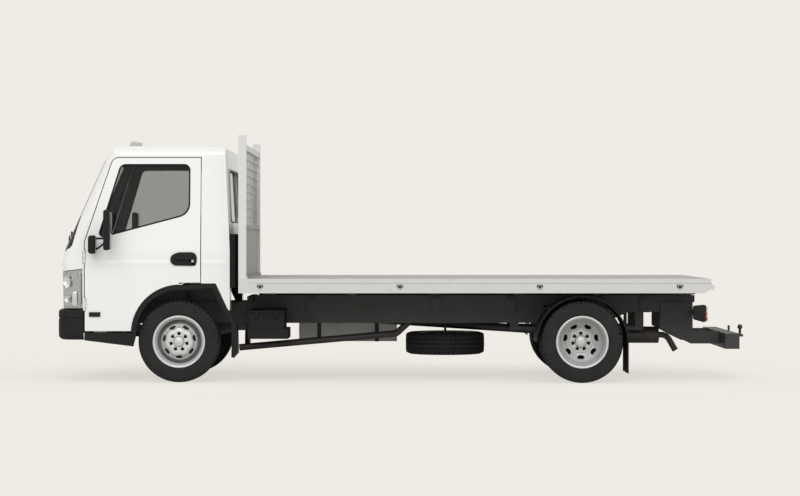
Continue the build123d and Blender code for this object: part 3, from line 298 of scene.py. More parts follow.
def headboard_coat(name, colour, zinc_and_shade):
    """Pale paint on posts and top rail; the sheet between them is bare zinc, darkened by painted shade."""
    f = Finish(name)
    y = f.axis("Y")
    # The sheet between the posts, below the top of the mesh, takes a dark zinc colour that also holds painted
    # shade
    shaded_sheet = (y < POST_INSIDE) * (y > -POST_INSIDE) * (f.axis("Z") < GUARD_TOP)
    spangle = f.noise(22.0, 5.0)
    paint = f.blend(f.noise(6.0) * 0.3, rgba(colour), shade(colour, 0.85))
    return f.surface(
        Base_Color=f.blend(shaded_sheet, paint, f.blend(spangle * 0.6, shade(zinc_and_shade, 1.15), shade(zinc_and_shade, 0.8))),
        Metallic=0.1,
        Roughness=0.40 + spangle * 0.15,
        Normal=f.grain(300.0, 0.0005, 0.2),
    )


def extruded_metal(name, colour, rough=0.42):
    """Mill finish aluminium with long die lines and scuffs."""
    f = Finish(name)
    lines = f.noise(60.0, 4.0, (0.02, 1.0, 1.0))
    scuff = f.ramp(f.noise(18.0, 6.0, (0.35, 1.0, 1.0)), 0.58, 0.75) * 0.22
    tone = f.blend(lines * 0.5 + f.noise(3.0, 4.0) * 0.3, shade(colour, 1.06), shade(colour, 0.86))
    return f.surface(
        Base_Color=f.blend(scuff, tone, shade(colour, 0.62)),
        Metallic=0.35,
        Roughness=rough + lines * 0.12 + scuff * 0.5,
        Normal=f.relief(lines, 0.0004, 0.25),
    )


def rubber(name, colour):
    """Road rubber, greyer where it is dusty."""
    f = Finish(name)
    dust = f.ramp(f.noise(9.0, 6.0), 0.38, 0.8) * 0.45
    return f.surface(
        Base_Color=f.blend(dust, rgba(colour), shade(colour, 1.75)),
        Roughness=0.78 + f.noise(60.0) * 0.15,
        Specular_IOR_Level=0.2,
        Normal=f.relief(f.noise(480.0, 3.0), 0.0008, 0.35),
    )


def tinted_glass(name, colour, cover):
    """Tinted pane: what lies behind shows through, with a clear reflection on top."""
    f = Finish(name)
    pane = f.principled(
        Base_Color=rgba(colour),
        Roughness=0.03 + f.noise(4.0) * 0.02,
        Alpha=cover + f.noise(2.0) * 0.02,
        Coat_Weight=0.3,
        Coat_Roughness=0.02,
    )
    gloss = f.node("ShaderNodeBsdfGlossy", {}, {"Color": rgba(grey(0.8)), "Roughness": 0.05})
    leaving = f.node("ShaderNodeNewGeometry", output="Backfacing")
    slant = f.ramp(f.node("ShaderNodeFresnel", {}, {"IOR": 1.45}), 0.08, 0.9) * (1.0 - leaving)
    return f.close(f.node("ShaderNodeMixShader", {}, {0: slant, 1: pane, 2: gloss}))


def lens(name, colour, cover, rough=0.08):
    """Ribbed lamp lens."""
    f = Finish(name)
    ribs = f.bands("Z", 26.0)
    return f.surface(
        Base_Color=f.blend(ribs * 0.4, rgba(colour), shade(colour, 0.7)),
        Roughness=rough + f.noise(30.0) * 0.03,
        Alpha=cover + ribs * 0.05,
        Coat_Weight=0.8,
        Coat_Roughness=0.03,
        Normal=f.relief(ribs, 0.002, 0.4),
    )


def mirror_silver(name, colour, rough):
    """Bright plated metal."""
    f = Finish(name)
    smear = f.noise(14.0, 4.0)
    return f.surface(
        Base_Color=f.blend(smear * 0.3, rgba(colour), shade(colour, 0.85)),
        Metallic=1.0,
        Roughness=rough + smear * 0.06,
    )


def woven(name, colour):
    """Plain woven seat cloth."""
    f = Finish(name)
    weave = f.bands("Y", 120.0, 0.6) * 0.5 + f.bands("Z", 120.0, 0.6) * 0.5
    return f.surface(
        Base_Color=f.blend(weave * 0.7 + f.noise(8.0) * 0.2, shade(colour, 0.7), shade(colour, 1.3)),
        Roughness=0.9,
        Sheen_Weight=0.25,
        Normal=f.relief(weave, 0.0008, 0.5),
    )


FINISH = {}


def make_finishes(colours):
    """Every finish of the truck, by name."""
    black, steel = colours.plastic, colours.frame_paint
    FINISH.update(
        cab_white=cab_paint("cab_white_paint", colours.cab, colours.inner_shade),
        trim_black=moulded("trim_black_plastic", black),
        frame_black=satin_metal("frame_black_paint", steel, 0.0, 0.5, (0.06, 0.05, 0.045), 0.5),
        box_black=moulded("box_black_plastic", black, 0.6, 500.0),
        engine_grey=satin_metal("engine_cast_grey", grey(0.10), 0.4, 0.55, (0.03, 0.025, 0.02), 0.6, 7.0),
        exhaust_steel=satin_metal("exhaust_dark_steel", (0.045, 0.043, 0.042), 0.4, 0.5, (0.09, 0.05, 0.03), 0.5,
                                  9.0),
        tank_grey=satin_metal("tank_grey_paint", colours.tank, 0.25, 0.45, grey(0.05), 0.35),
        tyre=rubber("tyre_rubber", colours.rubber),
        rim_front=wheel_paint("rim_front_silver_paint", colours.wheel, FRONT_AXLE_X, FRONT_SHADE_RINGS),
        rim_rear=wheel_paint("rim_rear_silver_paint", colours.wheel, REAR_AXLE_X, REAR_SHADE_RINGS),
        deck_aluminium=extruded_metal("deck_aluminium", colours.deck, 0.5),
        rail_aluminium=extruded_metal("rail_aluminium", colours.aluminium),
        headboard_paint=headboard_coat("headboard_pale_paint", colours.headboard, colours.zinc_and_shade),
        zinc_wire=satin_metal("zinc_wire", grey(0.50), 0.2, 0.45, grey(0.28), 0.3),
        ring_steel=satin_metal("ring_steel", grey(0.42), 0.8, 0.38, (0.18, 0.13, 0.10), 0.4, 20.0),
        lamp_red=lens("lamp_red_lens", (0.42, 0.012, 0.010), 0.94),
        lamp_amber=lens("lamp_amber_lens", (0.62, 0.20, 0.01), 0.9),
        lamp_cover=tinted_glass("lamp_clear_cover", (0.60, 0.61, 0.62), 0.05),
        lamp_bright=mirror_silver("lamp_bright_bowl", (0.82, 0.83, 0.84), 0.12),
        lamp_grey=mirror_silver("lamp_grey_housing", (0.50, 0.50, 0.51), 0.22),
        mirror_face=mirror_silver("mirror_face", (0.30, 0.31, 0.32), 0.03),
        glass=tinted_glass("window_tint_glass", colours.glass, 0.245),
        lamp_smoke=lens("lamp_smoke_lens", grey(0.42), 0.95, 0.2),
        gloss_black=moulded("gloss_black_band", (0.012, 0.012, 0.013), 0.12, 200.0),
        seat_cloth=woven("seat_grey_cloth", (0.035, 0.036, 0.040)),
        dash_grey=moulded("dash_dark_plastic", (0.018, 0.018, 0.019), 0.65, 700.0),
        wheel_black=moulded("steering_black_grip", grey(0.014), 0.5, 1200.0),
        seal_black=moulded("seal_black_rubber", grey(0.010), 0.6, 1500.0),
        seal_grey=moulded("seal_grey_rubber", grey(0.36), 0.6, 1500.0),
        lamp_pale=lens("lamp_pale_lens", (0.46, 0.46, 0.45), 0.96, 0.12),
        # Near-black steel for the plates that are painted shade of the ring recesses
        nut_dark=satin_metal("nut_dark_steel", grey(0.02), 0.5, 0.5, (0.06, 0.04, 0.03), 0.4, 40.0),
        drum_dark=satin_metal("drum_dark_iron", grey(0.012), 0.3, 0.7, (0.04, 0.025, 0.02), 0.5, 25.0),
    )


def face_out(bm):
    """Turn every face outwards."""
    bmesh.ops.recalc_face_normals(bm, faces=bm.faces[:])


def weld(bm, fill=False):
    """Merge points that coincide, and close open ends if asked."""
    bmesh.ops.remove_doubles(bm, verts=bm.verts[:], dist=1e-5)
    if fill:
        bmesh.ops.holes_fill(bm, edges=[edge for edge in bm.edges if edge.is_boundary], sides=0)
    face_out(bm)


def pulled(bm, faces, **options):
    """Points of a copy of faces that stay joined to where they came from."""
    made = bmesh.ops.extrude_face_region(bm, geom=faces, **options)
    return [item for item in made["geom"] if isinstance(item, bmesh.types.BMVert)]


def join(parts):
    """One bmesh from several finished ones."""
    whole = bmesh.new()
    for part in parts:
        mesh = bpy.data.meshes.new("part")
        part.to_mesh(mesh)
        part.free()
        whole.from_mesh(mesh)
        bpy.data.meshes.remove(mesh)
    return whole


def piece(name, parts, body, finish, stands_for=(), sharp=38.0):
    """Turn finished parts into a named piece that rides on a body."""
    bm = join(parts)
    mesh = bpy.data.meshes.new(name)
    bm.to_mesh(mesh)
    bm.free()
    mesh.materials.append(FINISH[finish])
    for polygon in mesh.polygons:
        polygon.use_smooth = True
    mesh.set_sharp_from_angle(angle=math.radians(sharp))
    obj = bpy.data.objects.new(name, mesh)
    bpy.context.scene.collection.objects.link(obj)
    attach(obj, body)
    if stands_for:
        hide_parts(*stands_for)
    return obj


def lathe(profile, centre, axis, steps, closed=False):
    """Spin a profile of (radius, distance along the axis) points into a bmesh."""
    bm = bmesh.new()
    along = Vector(axis).normalized()
    across = Vector((1, 0, 0)) if abs(along.x) < 0.1 else Vector((0, 0, 1))
    middle = Vector(centre)
    verts = [bm.verts.new(middle + across * radius + along * far) for radius, far in profile]
    edges = [bm.edges.new(pair) for pair in zip(verts, verts[1:])]
    if closed:
        edges.append(bm.edges.new((verts[-1], verts[0])))
    bmesh.ops.spin(bm, geom=verts + edges, cent=middle, axis=along, dvec=(0, 0, 0), angle=math.tau,
                   steps=steps, use_merge=True, use_duplicate=False)
    weld(bm)
    return bm


def round_edges(bm, offset, segments=3, angle=30.0):
    """Bevel every edge that turns by more than an angle."""
    edges = [e for e in bm.edges if len(e.link_faces) == 2 and e.calc_face_angle() > math.radians(angle)]
    bmesh.ops.bevel(bm, geom=edges, offset=offset, offset_type="OFFSET", affect="EDGES", segments=segments,
                    profile=0.5, material=-1, clamp_overlap=True)


def box(low, high, edge):
    """Box between two corners with rounded edges."""
    bm = bmesh.new()
    bmesh.ops.create_cube(bm, size=1.0)
    low, high = Vector(low), Vector(high)
    bmesh.ops.scale(bm, vec=high - low, verts=bm.verts[:])
    bmesh.ops.translate(bm, vec=(low + high) / 2, verts=bm.verts[:])
    round_edges(bm, edge)
    return bm


def slab(outline, low_y, high_y, edge=0.0, corner=0.0):
    """Plate with an outline of (x, z) points between two y values, its edges and corners rounded."""
    bm = bmesh.new()
    verts = [bm.verts.new((x, low_y, z)) for x, z in outline]
    bm.faces.new(verts)
    if corner:
        bmesh.ops.bevel(bm, geom=verts, offset=corner, offset_type="OFFSET", affect="VERTICES", segments=4,
                        profile=0.5, material=-1)
    moved = pulled(bm, bm.faces[:], use_keep_orig=True)
    bmesh.ops.translate(bm, vec=(0, high_y - low_y, 0), verts=moved)
    face_out(bm)
    if edge:
        round_edges(bm, edge, 3, 50.0)
    return bm


def tube(points, radius):
    """Round bar along a smooth line through a route of points."""
    curve = bpy.data.curves.new("route", "CURVE")
    curve.dimensions = "3D"
    curve.bevel_depth = radius
    curve.bevel_resolution = 3
    curve.use_fill_caps = True
    spline = curve.splines.new("NURBS")
    spline.points.add(len(points) - 1)
    for point, place in zip(spline.points, points):
        point.co = (*place, 1.0)
    spline.order_u = 3
    spline.use_endpoint_u = True
    spline.resolution_u = 8
    holder = bpy.data.objects.new("route", curve)
    mesh = bpy.data.meshes.new_from_object(holder)
    bm = bmesh.new()
    bm.from_mesh(mesh)
    bpy.data.meshes.remove(mesh)
    bpy.data.objects.remove(holder)
    bpy.data.curves.remove(curve)
    weld(bm)
    return bm


def cone(centre, axis, low_radius, high_radius, length, sides, edge=0.0):
    """Round or many-sided stub whose foot stands at a centre."""
    bm = bmesh.new()
    turn = Vector((0, 0, 1)).rotation_difference(Vector(axis)).to_matrix().to_4x4()
    place = Matrix.Translation(Vector(centre) + Vector(axis).normalized() * length / 2) @ turn
    bmesh.ops.create_cone(bm, cap_ends=True, segments=sides, radius1=low_radius, radius2=high_radius, depth=length,
                          matrix=place)
    if edge:
        round_edges(bm, edge, 2, 50.0)
    return bm


def sheet(rows, wall=0.0):
    """Sheet over rows of points, thickened if a wall is given."""
    bm = bmesh.new()
    grid = [[bm.verts.new(point) for point in row] for row in rows]
    for low, high in zip(grid, grid[1:]):
        for index in range(len(low) - 1):
            bm.faces.new((low[index], low[index + 1], high[index + 1], high[index]))
    face_out(bm)
    if wall:
        bmesh.ops.solidify(bm, geom=bm.faces[:], thickness=wall)
    return bm


def rounded(corners):
    """Outline of (across, up, radius) corners with an arc at each."""
    points = []
    for index, (across, up, radius) in enumerate(corners):
        here = Vector((across, up))
        back = (Vector(corners[index - 1][:2]) - here).normalized()
        ahead = (Vector(corners[(index + 1) % len(corners)][:2]) - here).normalized()
        half = back.angle(ahead) / 2
        middle = here + (back + ahead).normalized() * (radius / math.sin(half))
        start = (here + back * (radius / math.tan(half)) - middle).normalized()
        end = (here + ahead * (radius / math.tan(half)) - middle).normalized()
        points += [middle + start.slerp(end, step / ARC_STEPS) * radius for step in range(ARC_STEPS + 1)]
    return points


def with_radius(radius, *corners):
    """Outline of (across, up) corners with the same arc at each."""
    return rounded([(*corner, radius) for corner in corners])


def on_side(side, shapes):
    """Right-side shapes as they are for the right, flipped for the left."""
    if side < 0:
        for bm in shapes:
            bmesh.ops.scale(bm, vec=(1, -1, 1), verts=bm.verts[:])
            bmesh.ops.reverse_faces(bm, faces=bm.faces[:])
    return shapes


def both(shapes):
    """Right-side shapes and their mirror images on the left."""
    return on_side(-1, [bm.copy() for bm in shapes]) + shapes


def node_middle(name):
    low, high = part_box(name)
    return (low + high) / 2


def colour_property(name, description, default):
    return FloatVectorProperty(name=name, description=description, subtype="COLOR", size=3, min=0.0, max=1.0,
                               default=default)


def length_property(name, description, default):
    return FloatProperty(name=name, description=description, default=default, unit="LENGTH")


class TruckColours(bpy.types.PropertyGroup):
    """Colours of the truck's finishes."""

    cab: colour_property("Cab", "Gloss paint of the cab's panels", (0.84, 0.84, 0.835))
    # Near-black painted shade for the faces inside the cab
    inner_shade: colour_property("Lining", "Dark lining inside the cab", grey(0.007))
    plastic: colour_property("Plastic", "Bumper, arches, sills and mirrors", grey(0.010))
    frame_paint: colour_property("Frame", "Chassis frame, axles and tray underframe", grey(0.024))
    tank: colour_property("Tank", "Fuel tank", grey(0.50))
    rubber: colour_property("Rubber", "Tyres", grey(0.019))
    wheel: colour_property("Wheels", "Silver paint of the wheels", grey(0.62))
    aluminium: colour_property("Aluminium", "Side rails of the tray", (0.60, 0.60, 0.595))
    deck: colour_property("Deck", "Planks of the tray", (0.40, 0.40, 0.398))
    headboard: colour_property("Headboard", "Posts and grid at the front of the tray", grey(0.66))
    # Dark grey of the headboard's sheet: zinc, darkened by painted shade
    zinc_and_shade: colour_property("Zinc", "Sheet of the headboard", grey(0.22))
    glass: colour_property("Glass", "Window tint", grey(0.020))


class TruckSizes(bpy.types.PropertyGroup):
    """Sizes of the fine pieces."""

    tread_depth: length_property("Tread depth", "Depth of the tyres' grooves", 0.011)
    tread_zigzag: length_property("Tread zigzag", "Sideways swing of the grooves", 0.0035)
    shoulder_lugs: IntProperty(name="Shoulder lugs", description="Slots round each tyre shoulder", default=54,
                               min=12)
    wheel_holes: IntProperty(name="Wheel holes", description="Vents and nuts of each wheel", default=7, min=3)
    nut_width: length_property("Nut width", "Width of a wheel nut", 0.022)
    soft_edge: length_property("Soft edge", "Bevel on sharp edges of the solids", 0.003)
    mesh_pitch: length_property("Mesh pitch", "Spacing of the headboard's wires", 0.075)
    seal_width: length_property("Seal width", "Rubber round the windows", 0.015)


class TruckStage(bpy.types.PropertyGroup):
    """Camera, floor and light."""

    backdrop: colour_property("Backdrop", "Colour of floor and background", (0.863, 0.838, 0.783))
    camera_place: FloatVectorProperty(name="Camera", description="Where the camera stands", subtype="TRANSLATION",
                                      size=3, default=(-0.046, -22.53, 1.373))
    lens: FloatProperty(name="Lens", description="Focal length in millimetres", default=103.8)
    key_light: FloatProperty(name="Key light", description="Strength of the soft key light", default=1.42)
    fill_light: FloatProperty(name="Fill light", description="Strength of the even light all round", default=0.52)


# Solids whose edges are softened
SOFT_NODES = ("tow_bar", "headboard", "battery_box", "cab_trim", "rear_mudguards", "chassis_frame", "subframe")
# Solids by finish
FINISH_NODES = {
    "frame_black": "chassis_frame front_axle rear_axle leaf_springs spare_rim subframe tow_bar knuckle_left"
                   " knuckle_right tie_rod",
    "trim_black": "rear_mudguards front_bumper grille cab_trim door_fittings_left door_fittings_right",
    "cab_white": "cab_shell front_panel door_left door_right",
    "glass": "cab_glass door_glass_left door_glass_right",
    "tyre": "spare_tyre front_tyre_left front_tyre_right rear_tyres_left rear_tyres_right",
    "rim_front": "front_rim_left front_rim_right", "rim_rear": "rear_rims_left rear_rims_right",
    "engine_grey": "engine", "exhaust_steel": "exhaust", "tank_grey": "fuel_tank", "box_black": "battery_box",
    "deck_aluminium": "tray_deck", "rail_aluminium": "tray_rails", "headboard_paint": "headboard",
    "ring_steel": "lashing_rings", "lamp_red": "tail_lamps", "lamp_cover": "headlamps", "lamp_pale": "roof_lamps",
    "seat_cloth": "seats", "dash_grey": "dashboard", "wheel_black": "steering_wheel",
}
NODE_FINISH = {name: finish for finish, names in FINISH_NODES.items() for name in names.split()}


class TRUCK_OT_finishes(bpy.types.Operator):
    """Make the finishes and put them on the solids that stay in view"""

    bl_idname = "truck.finishes"
    bl_label = "Finishes"

    def execute(self, context):
        make_finishes(context.scene.truck_colours)
        for name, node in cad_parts.items():
            node.material_slots[0].material = FINISH[NODE_FINISH[name]]
        for name in SOFT_NODES:
            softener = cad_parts[name].modifiers.new("Soft edges", "BEVEL")
            softener.width = context.scene.truck_sizes.soft_edge
            softener.segments = 2
            softener.limit_method = "ANGLE"
            softener.angle_limit = math.radians(40.0)
        return {"FINISHED"}


# Half section of a tyre from bead to shoulder, as radius and distance from the middle
TYRE_SIDE = (
    (0.2435, 0.0860), (0.2465, 0.0965), (0.2560, 0.1010), (0.2680, 0.1030), (0.2705, 0.1050), (0.2760, 0.1050),
    (0.2790, 0.1042), (0.3000, 0.1070), (0.3200, 0.1068), (0.3380, 0.1045), (0.3405, 0.1056), (0.3450, 0.1048),
    (0.3470, 0.1026), (0.3600, 0.0985), (0.3725, 0.0925), (0.3790, 0.0860), (0.3808, 0.0745),
)
TYRE_RADIUS = 0.383
TREAD_SHARP = 30.0
# Grooves from shoulder to middle: distance from the middle, radius of the tread there
GROOVES = ((0.045, TYRE_RADIUS - 0.0012), (0.0, TYRE_RADIUS))
GROOVE_HALF, GROOVE_DRAFT = 0.004, 0.001
# Shoulder slots: least radius, least and greatest distance from the middle, depth
SLOT_RADIUS, SLOT_INNER, SLOT_OUTER, SLOT_DEPTH = 0.362, 0.062, 0.098, 0.008


def tyre_profile(depth):
    """Closed section of a tyre with its grooves."""
    half = list(TYRE_SIDE)
    for groove, top in GROOVES:
        half += [(top, groove + GROOVE_HALF), (top - depth, groove + GROOVE_HALF - GROOVE_DRAFT)]
        if groove:
            half += [(top - depth, groove - GROOVE_HALF + GROOVE_DRAFT), (top + 0.0004, groove - GROOVE_HALF)]
    return half + [(radius, -far) for radius, far in reversed(half)]


def tyre(centre, axis, sizes):
    """Tyre with zigzag grooves and slotted shoulders."""
    steps = sizes.shoulder_lugs * 4
    bm = lathe(tyre_profile(sizes.tread_depth), centre, axis, steps, closed=True)
    along, middle = Vector(axis).normalized(), Vector(centre)
    across = Vector((1, 0, 0))
    upward = along.cross(across)

    def polar(place):
        arm = place - middle
        far = arm.dot(along)
        return (arm - along * far).length, far, math.atan2(arm.dot(upward), arm.dot(across)) % math.tau

    for vert in bm.verts:
        radius, far, angle = polar(vert.co)
        if radius > 0.36 and any(abs(abs(far) - groove) < 0.006 for groove, top in GROOVES):
            wave = angle / math.tau * sizes.shoulder_lugs % 1.0
            vert.co += along * sizes.tread_zigzag * (4 * abs(wave - 0.5) - 1.0)
    slots = []
    for face in bm.faces:
        radius, far, angle = polar(face.calc_center_median())
        step = int(angle / math.tau * steps)
        if radius > SLOT_RADIUS and SLOT_INNER < abs(far) < SLOT_OUTER and (step + (2 if far > 0 else 0)) % 4 == 0:
            slots.append(face)
    for vert in pulled(bm, slots):
        arm = vert.co - middle
        arm -= along * arm.dot(along)
        vert.co -= arm.normalized() * SLOT_DEPTH
    face_out(bm)
    return bm


def twin_places(name):
    """Middles of a twin wheel's two tyres, the one at low y first."""
    low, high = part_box(f"rear_tyres_{name}")
    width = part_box(f"front_tyre_{name}")[1].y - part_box(f"front_tyre_{name}")[0].y
    middle = (low + high) / 2
    return [Vector((middle.x, y, middle.z)) for y in (low.y + width / 2, high.y - width / 2)]


class TRUCK_OT_tyres(bpy.types.Operator):
    """Build the road tyres and the spare"""

    bl_idname = "truck.tyres"
    bl_label = "Tyres"

    def execute(self, context):
        sizes = context.scene.truck_sizes
        rows = []
        for side, name in SIDES:
            front, rear = f"front_tyre_{name}", f"rear_tyres_{name}"
            rows += [
                (f"front_road_tyre_{name}", [node_middle(front)], (0, 1, 0), f"front_wheel_{name}", front),
                (f"rear_road_tyres_{name}", twin_places(name), (0, 1, 0), f"rear_wheel_{name}", rear),
            ]
        rows.append(("spare_road_tyre", [node_middle("spare_tyre")], (0, 0, 1), "chassis", "spare_tyre"))
        for name, places, axis, body, node in rows:
            made = [tyre(place, axis, sizes) for place in places]
            piece(name, made, body, "tyre", [node], TREAD_SHARP)
        return {"FINISHED"}


# Rim well from outer lip to inner lip, as radius and distance outwards from the rim's middle
RIM_WELL = (
    (0.2425, 0.0945), (0.2440, 0.1000), (0.2395, 0.1035), (0.2300, 0.1010), (0.2240, 0.0920), (0.2195, 0.0740),
    (0.2150, 0.0560), (0.2080, 0.0450), (0.2055, 0.0250), (0.2055, -0.0550), (0.2130, -0.0720), (0.2190, -0.0850),
    (0.2300, -0.0985), (0.2395, -0.1015), (0.2440, -0.0980), (0.2425, -0.0925),
)
# Pressed discs from the rim to the hub: the front one bulges out, the rear one is dished in
FRONT_DISC = (
    (0.2050, 0.0080), (0.2040, 0.0220), (0.1985, 0.0300), (0.1900, 0.0315), (0.1800, 0.0310), (0.1710, 0.0370),
    (0.1640, 0.0450), (0.1560, 0.0500), (0.1450, 0.0550), (0.1340, 0.0610), (0.1280, 0.0690), (0.1210, 0.0780),
    (0.1140, 0.0830), (0.1050, 0.0850), (0.0950, 0.0855), (0.0900, 0.0860), (0.0750, 0.0860), (0.0600, 0.0860),
    (0.0540, 0.0860), (0.0490, 0.0850), (0.0460, 0.0790),
)
REAR_DISC = (
    (0.2050, 0.0990), (0.2040, 0.0860), (0.1980, 0.0740), (0.1880, 0.0640), (0.1780, 0.0560), (0.1700, 0.0500),
    (0.1660, 0.0470), (0.1500, 0.0370), (0.1340, 0.0290), (0.1290, 0.0240), (0.1230, 0.0200), (0.1150, 0.0180),
    (0.1090, 0.0205), (0.1020, 0.0240), (0.0950, 0.0245), (0.0890, 0.0245), (0.0740, 0.0245), (0.0590, 0.0245),
    (0.0550, 0.0245), (0.0530, 0.0210),
)
# Hubs and brake drums, as radius and distance outwards
FRONT_CAP = (
    (0.046, 0.080), (0.0455, 0.092), (0.042, 0.100), (0.034, 0.104), (0.026, 0.1045), (0.022, 0.1085),
    (0.012, 0.1105), (0.0, 0.111),
)
FRONT_DRUM = ((0.045, 0.066), (0.152, 0.040), (0.165, 0.030), (0.165, -0.050), (0.150, -0.054), (0.070, -0.054))
REAR_HUB = (
    (0.053, 0.004), (0.052, 0.060), (0.048, 0.068), (0.040, 0.070), (0.034, 0.076), (0.020, 0.079), (0.0, 0.080),
)
REAR_DRUM = ((0.062, 0.000), (0.120, -0.004), (0.120, -0.030), (0.170, -0.050), (0.170, -0.200), (0.090, -0.205))
HUB_STEPS, DRUM_STEPS = 48, 56
# Steps of a disc to each vent
DISC_STEPS = 14
RIM_SHARP = 60.0
# Holes of a disc: ring radius, half width, half height, squareness
FRONT_VENT = (0.145, 0.032, 0.0115, 2.0)
REAR_VENT = (0.150, 0.034, 0.0165, 2.0)
NUT_HOLE = (0.0745, 0.0160, 0.0160, 1.9)
VENT_ANGLE, NUT_ANGLE = math.radians(-90.0), math.radians(90.0)
# Raised middle of a disc: radius and width of the part that is drawn in, and how far
LOBE_RADIUS, LOBE_WIDTH, LOBE_REACH = 0.124, 0.024, 0.008
# Wheel nuts: distance outwards, ring radius
FRONT_NUTS, REAR_NUTS = (0.062, 0.076), (0.004, 0.078)
NUT_HEIGHT, STUD_HEIGHT = 0.016, 0.006


def pressed_disc(profile, centre, out, vent, count):
    """Wheel disc with vents and nut holes, its raised middle drawn in at each vent."""
    bm = lathe(profile, centre, (0, out, 0), count * DISC_STEPS)
    middle = Vector(centre)
    holes = ((*vent, VENT_ANGLE), (*NUT_HOLE, NUT_ANGLE))
    pitch = math.tau / count

    def polar(place):
        arm = place - middle
        return math.hypot(arm.x, arm.z), math.atan2(arm.z, arm.x)

    def turned(angle, start):
        return (angle - start + pitch / 2) % pitch - pitch / 2

    gone = set()
    for face in bm.faces:
        radius, angle = polar(face.calc_center_median())
        for ring, wide, high, power, start in holes:
            if abs(radius - ring) < high and abs(turned(angle, start)) * ring < wide:
                gone.add(face)
    bmesh.ops.delete(bm, geom=list(gone), context="FACES")
    for vert in bm.verts:
        radius, angle = polar(vert.co)
        for ring, wide, high, power, start in holes:
            off = turned(angle, start)
            if vert.is_boundary and abs(radius - ring) < high + 0.001 and abs(off) * ring < wide + 0.003:
                across, up = off * ring / wide, (radius - ring) / high
                square = power if up < 0 else power * 2
                reach = (abs(across) ** square + abs(up) ** square) ** (1 / square)
                radius = ring + up / reach * high
                angle += across / reach * wide / ring - off
        weight = max(0.0, 1.0 - abs(radius - LOBE_RADIUS) / LOBE_WIDTH)
        radius -= LOBE_REACH * weight * math.cos(count * (angle - VENT_ANGLE))
        vert.co.x = middle.x + radius * math.cos(angle)
        vert.co.z = middle.z + radius * math.sin(angle)
    return bm


def thicken(obj):
    """Give a pressed sheet its wall and round its edges."""
    wall = obj.modifiers.new("Wall", "SOLIDIFY")
    wall.thickness = 0.005
    wall.offset = 0.0
    smoother = obj.modifiers.new("Round", "SUBSURF")
    smoother.levels = smoother.render_levels = 1


def nut_ring(centre, out, ring, sizes):
    """Ring of six-sided nuts on studs."""
    made = []
    far, radius = ring
    width = sizes.nut_width
    for index in range(sizes.wheel_holes):
        angle = NUT_ANGLE + index * math.tau / sizes.wheel_holes
        spot = Vector(centre) + Vector((math.cos(angle) * radius, out * far, math.sin(angle) * radius))
        made.append(cone(spot, (0, out, 0), width / 2, width / 2, NUT_HEIGHT, 6, 0.0015))
        tip = spot + Vector((0, out * NUT_HEIGHT, 0))
        made.append(cone(tip, (0, out, 0), width / 4, width / 4 - 0.001, STUD_HEIGHT, 12))
    return made


class TRUCK_OT_wheels(bpy.types.Operator):
    """Build the pressed steel wheels with hubs and nuts"""

    bl_idname = "truck.wheels"
    bl_label = "Wheels"

    def execute(self, context):
        for side, name in SIDES:
            self.front_wheel(side, name, context.scene.truck_sizes)
            self.rear_wheels(side, name, context.scene.truck_sizes)
        return {"FINISHED"}

    def front_wheel(self, side, name, sizes):
        count, out, body = sizes.wheel_holes, (0, side, 0), f"front_wheel_{name}"
        spot = node_middle(f"front_tyre_{name}")
        parts = [lathe(RIM_WELL, spot, out, count * DISC_STEPS),
                 pressed_disc(FRONT_DISC, spot, side, FRONT_VENT, count)]
        thicken(piece(f"front_wheel_rim_{name}", parts, body, "rim_front", [f"front_rim_{name}"],
                      RIM_SHARP))
        piece(f"front_hub_cap_{name}", [lathe(FRONT_CAP, spot, out, HUB_STEPS)], body, "rim_front")
        drum = [lathe(FRONT_DRUM, spot, out, DRUM_STEPS)] + nut_ring(spot, side, FRONT_NUTS, sizes)
        piece(f"front_drum_{name}", drum, body, "drum_dark")

    def rear_wheels(self, side, name, sizes):
        count, out, body = sizes.wheel_holes, (0, side, 0), f"rear_wheel_{name}"
        middle = node_middle(f"rear_tyres_{name}")
        inner, outer = twin_places(name)[::side]
        parts = [lathe(RIM_WELL, outer, out, count * DISC_STEPS),
                 lathe(RIM_WELL, inner, (0, -side, 0), count * DISC_STEPS),
                 pressed_disc(REAR_DISC, middle, side, REAR_VENT, count),
                 pressed_disc(REAR_DISC, middle, -side, REAR_VENT, count)]
        thicken(piece(f"rear_wheel_rims_{name}", parts, body, "rim_rear", [f"rear_rims_{name}"],
                      RIM_SHARP))
        hub = [lathe(REAR_HUB, middle, out, HUB_STEPS)]
        for angle in (index * math.tau / 8 for index in range(8)):
            spot = middle + Vector((math.cos(angle) * 0.043, side * 0.064, math.sin(angle) * 0.043))
            hub.append(cone(spot, out, 0.005, 0.005, 0.009, 6))
        piece(f"rear_hub_{name}", hub, body, "rim_rear")
        drum = [lathe(REAR_DRUM, middle, out, DRUM_STEPS)] + nut_ring(middle, side, REAR_NUTS, sizes)
        piece(f"rear_drum_{name}", drum, body, "drum_dark")


# Door fittings of the right side: outlines of (x, z), routes of (x, y, z)
TALL_MIRROR = ((-2.790, 1.236), (-2.790, 1.620), (-2.727, 1.608), (-2.727, 1.248))
SMALL_MIRROR = ((-2.944, 1.207), (-2.944, 1.380), (-2.874, 1.380), (-2.874, 1.207))
UPPER_ARM = (
    (-2.910, 0.955, 1.352), (-2.910, 1.000, 1.352), (-2.905, 1.070, 1.350), (-2.830, 1.085, 1.350),
    (-2.770, 1.100, 1.352),
)
LOWER_ARM = (
    (-2.910, 0.965, 1.240), (-2.910, 1.010, 1.240), (-2.895, 1.075, 1.244), (-2.830, 1.090, 1.270),
    (-2.775, 1.100, 1.330),
)
HANDLE = (
    (-2.195, 1.158), (-2.178, 1.196), (-2.120, 1.221), (-1.985, 1.222), (-1.950, 1.200), (-1.943, 1.160),
    (-1.952, 1.104), (-1.975, 1.094), (-2.150, 1.096), (-2.185, 1.118),
)
GRIP = ((-2.160, 1.150), (-2.130, 1.186), (-1.990, 1.190), (-1.978, 1.165), (-2.000, 1.150))


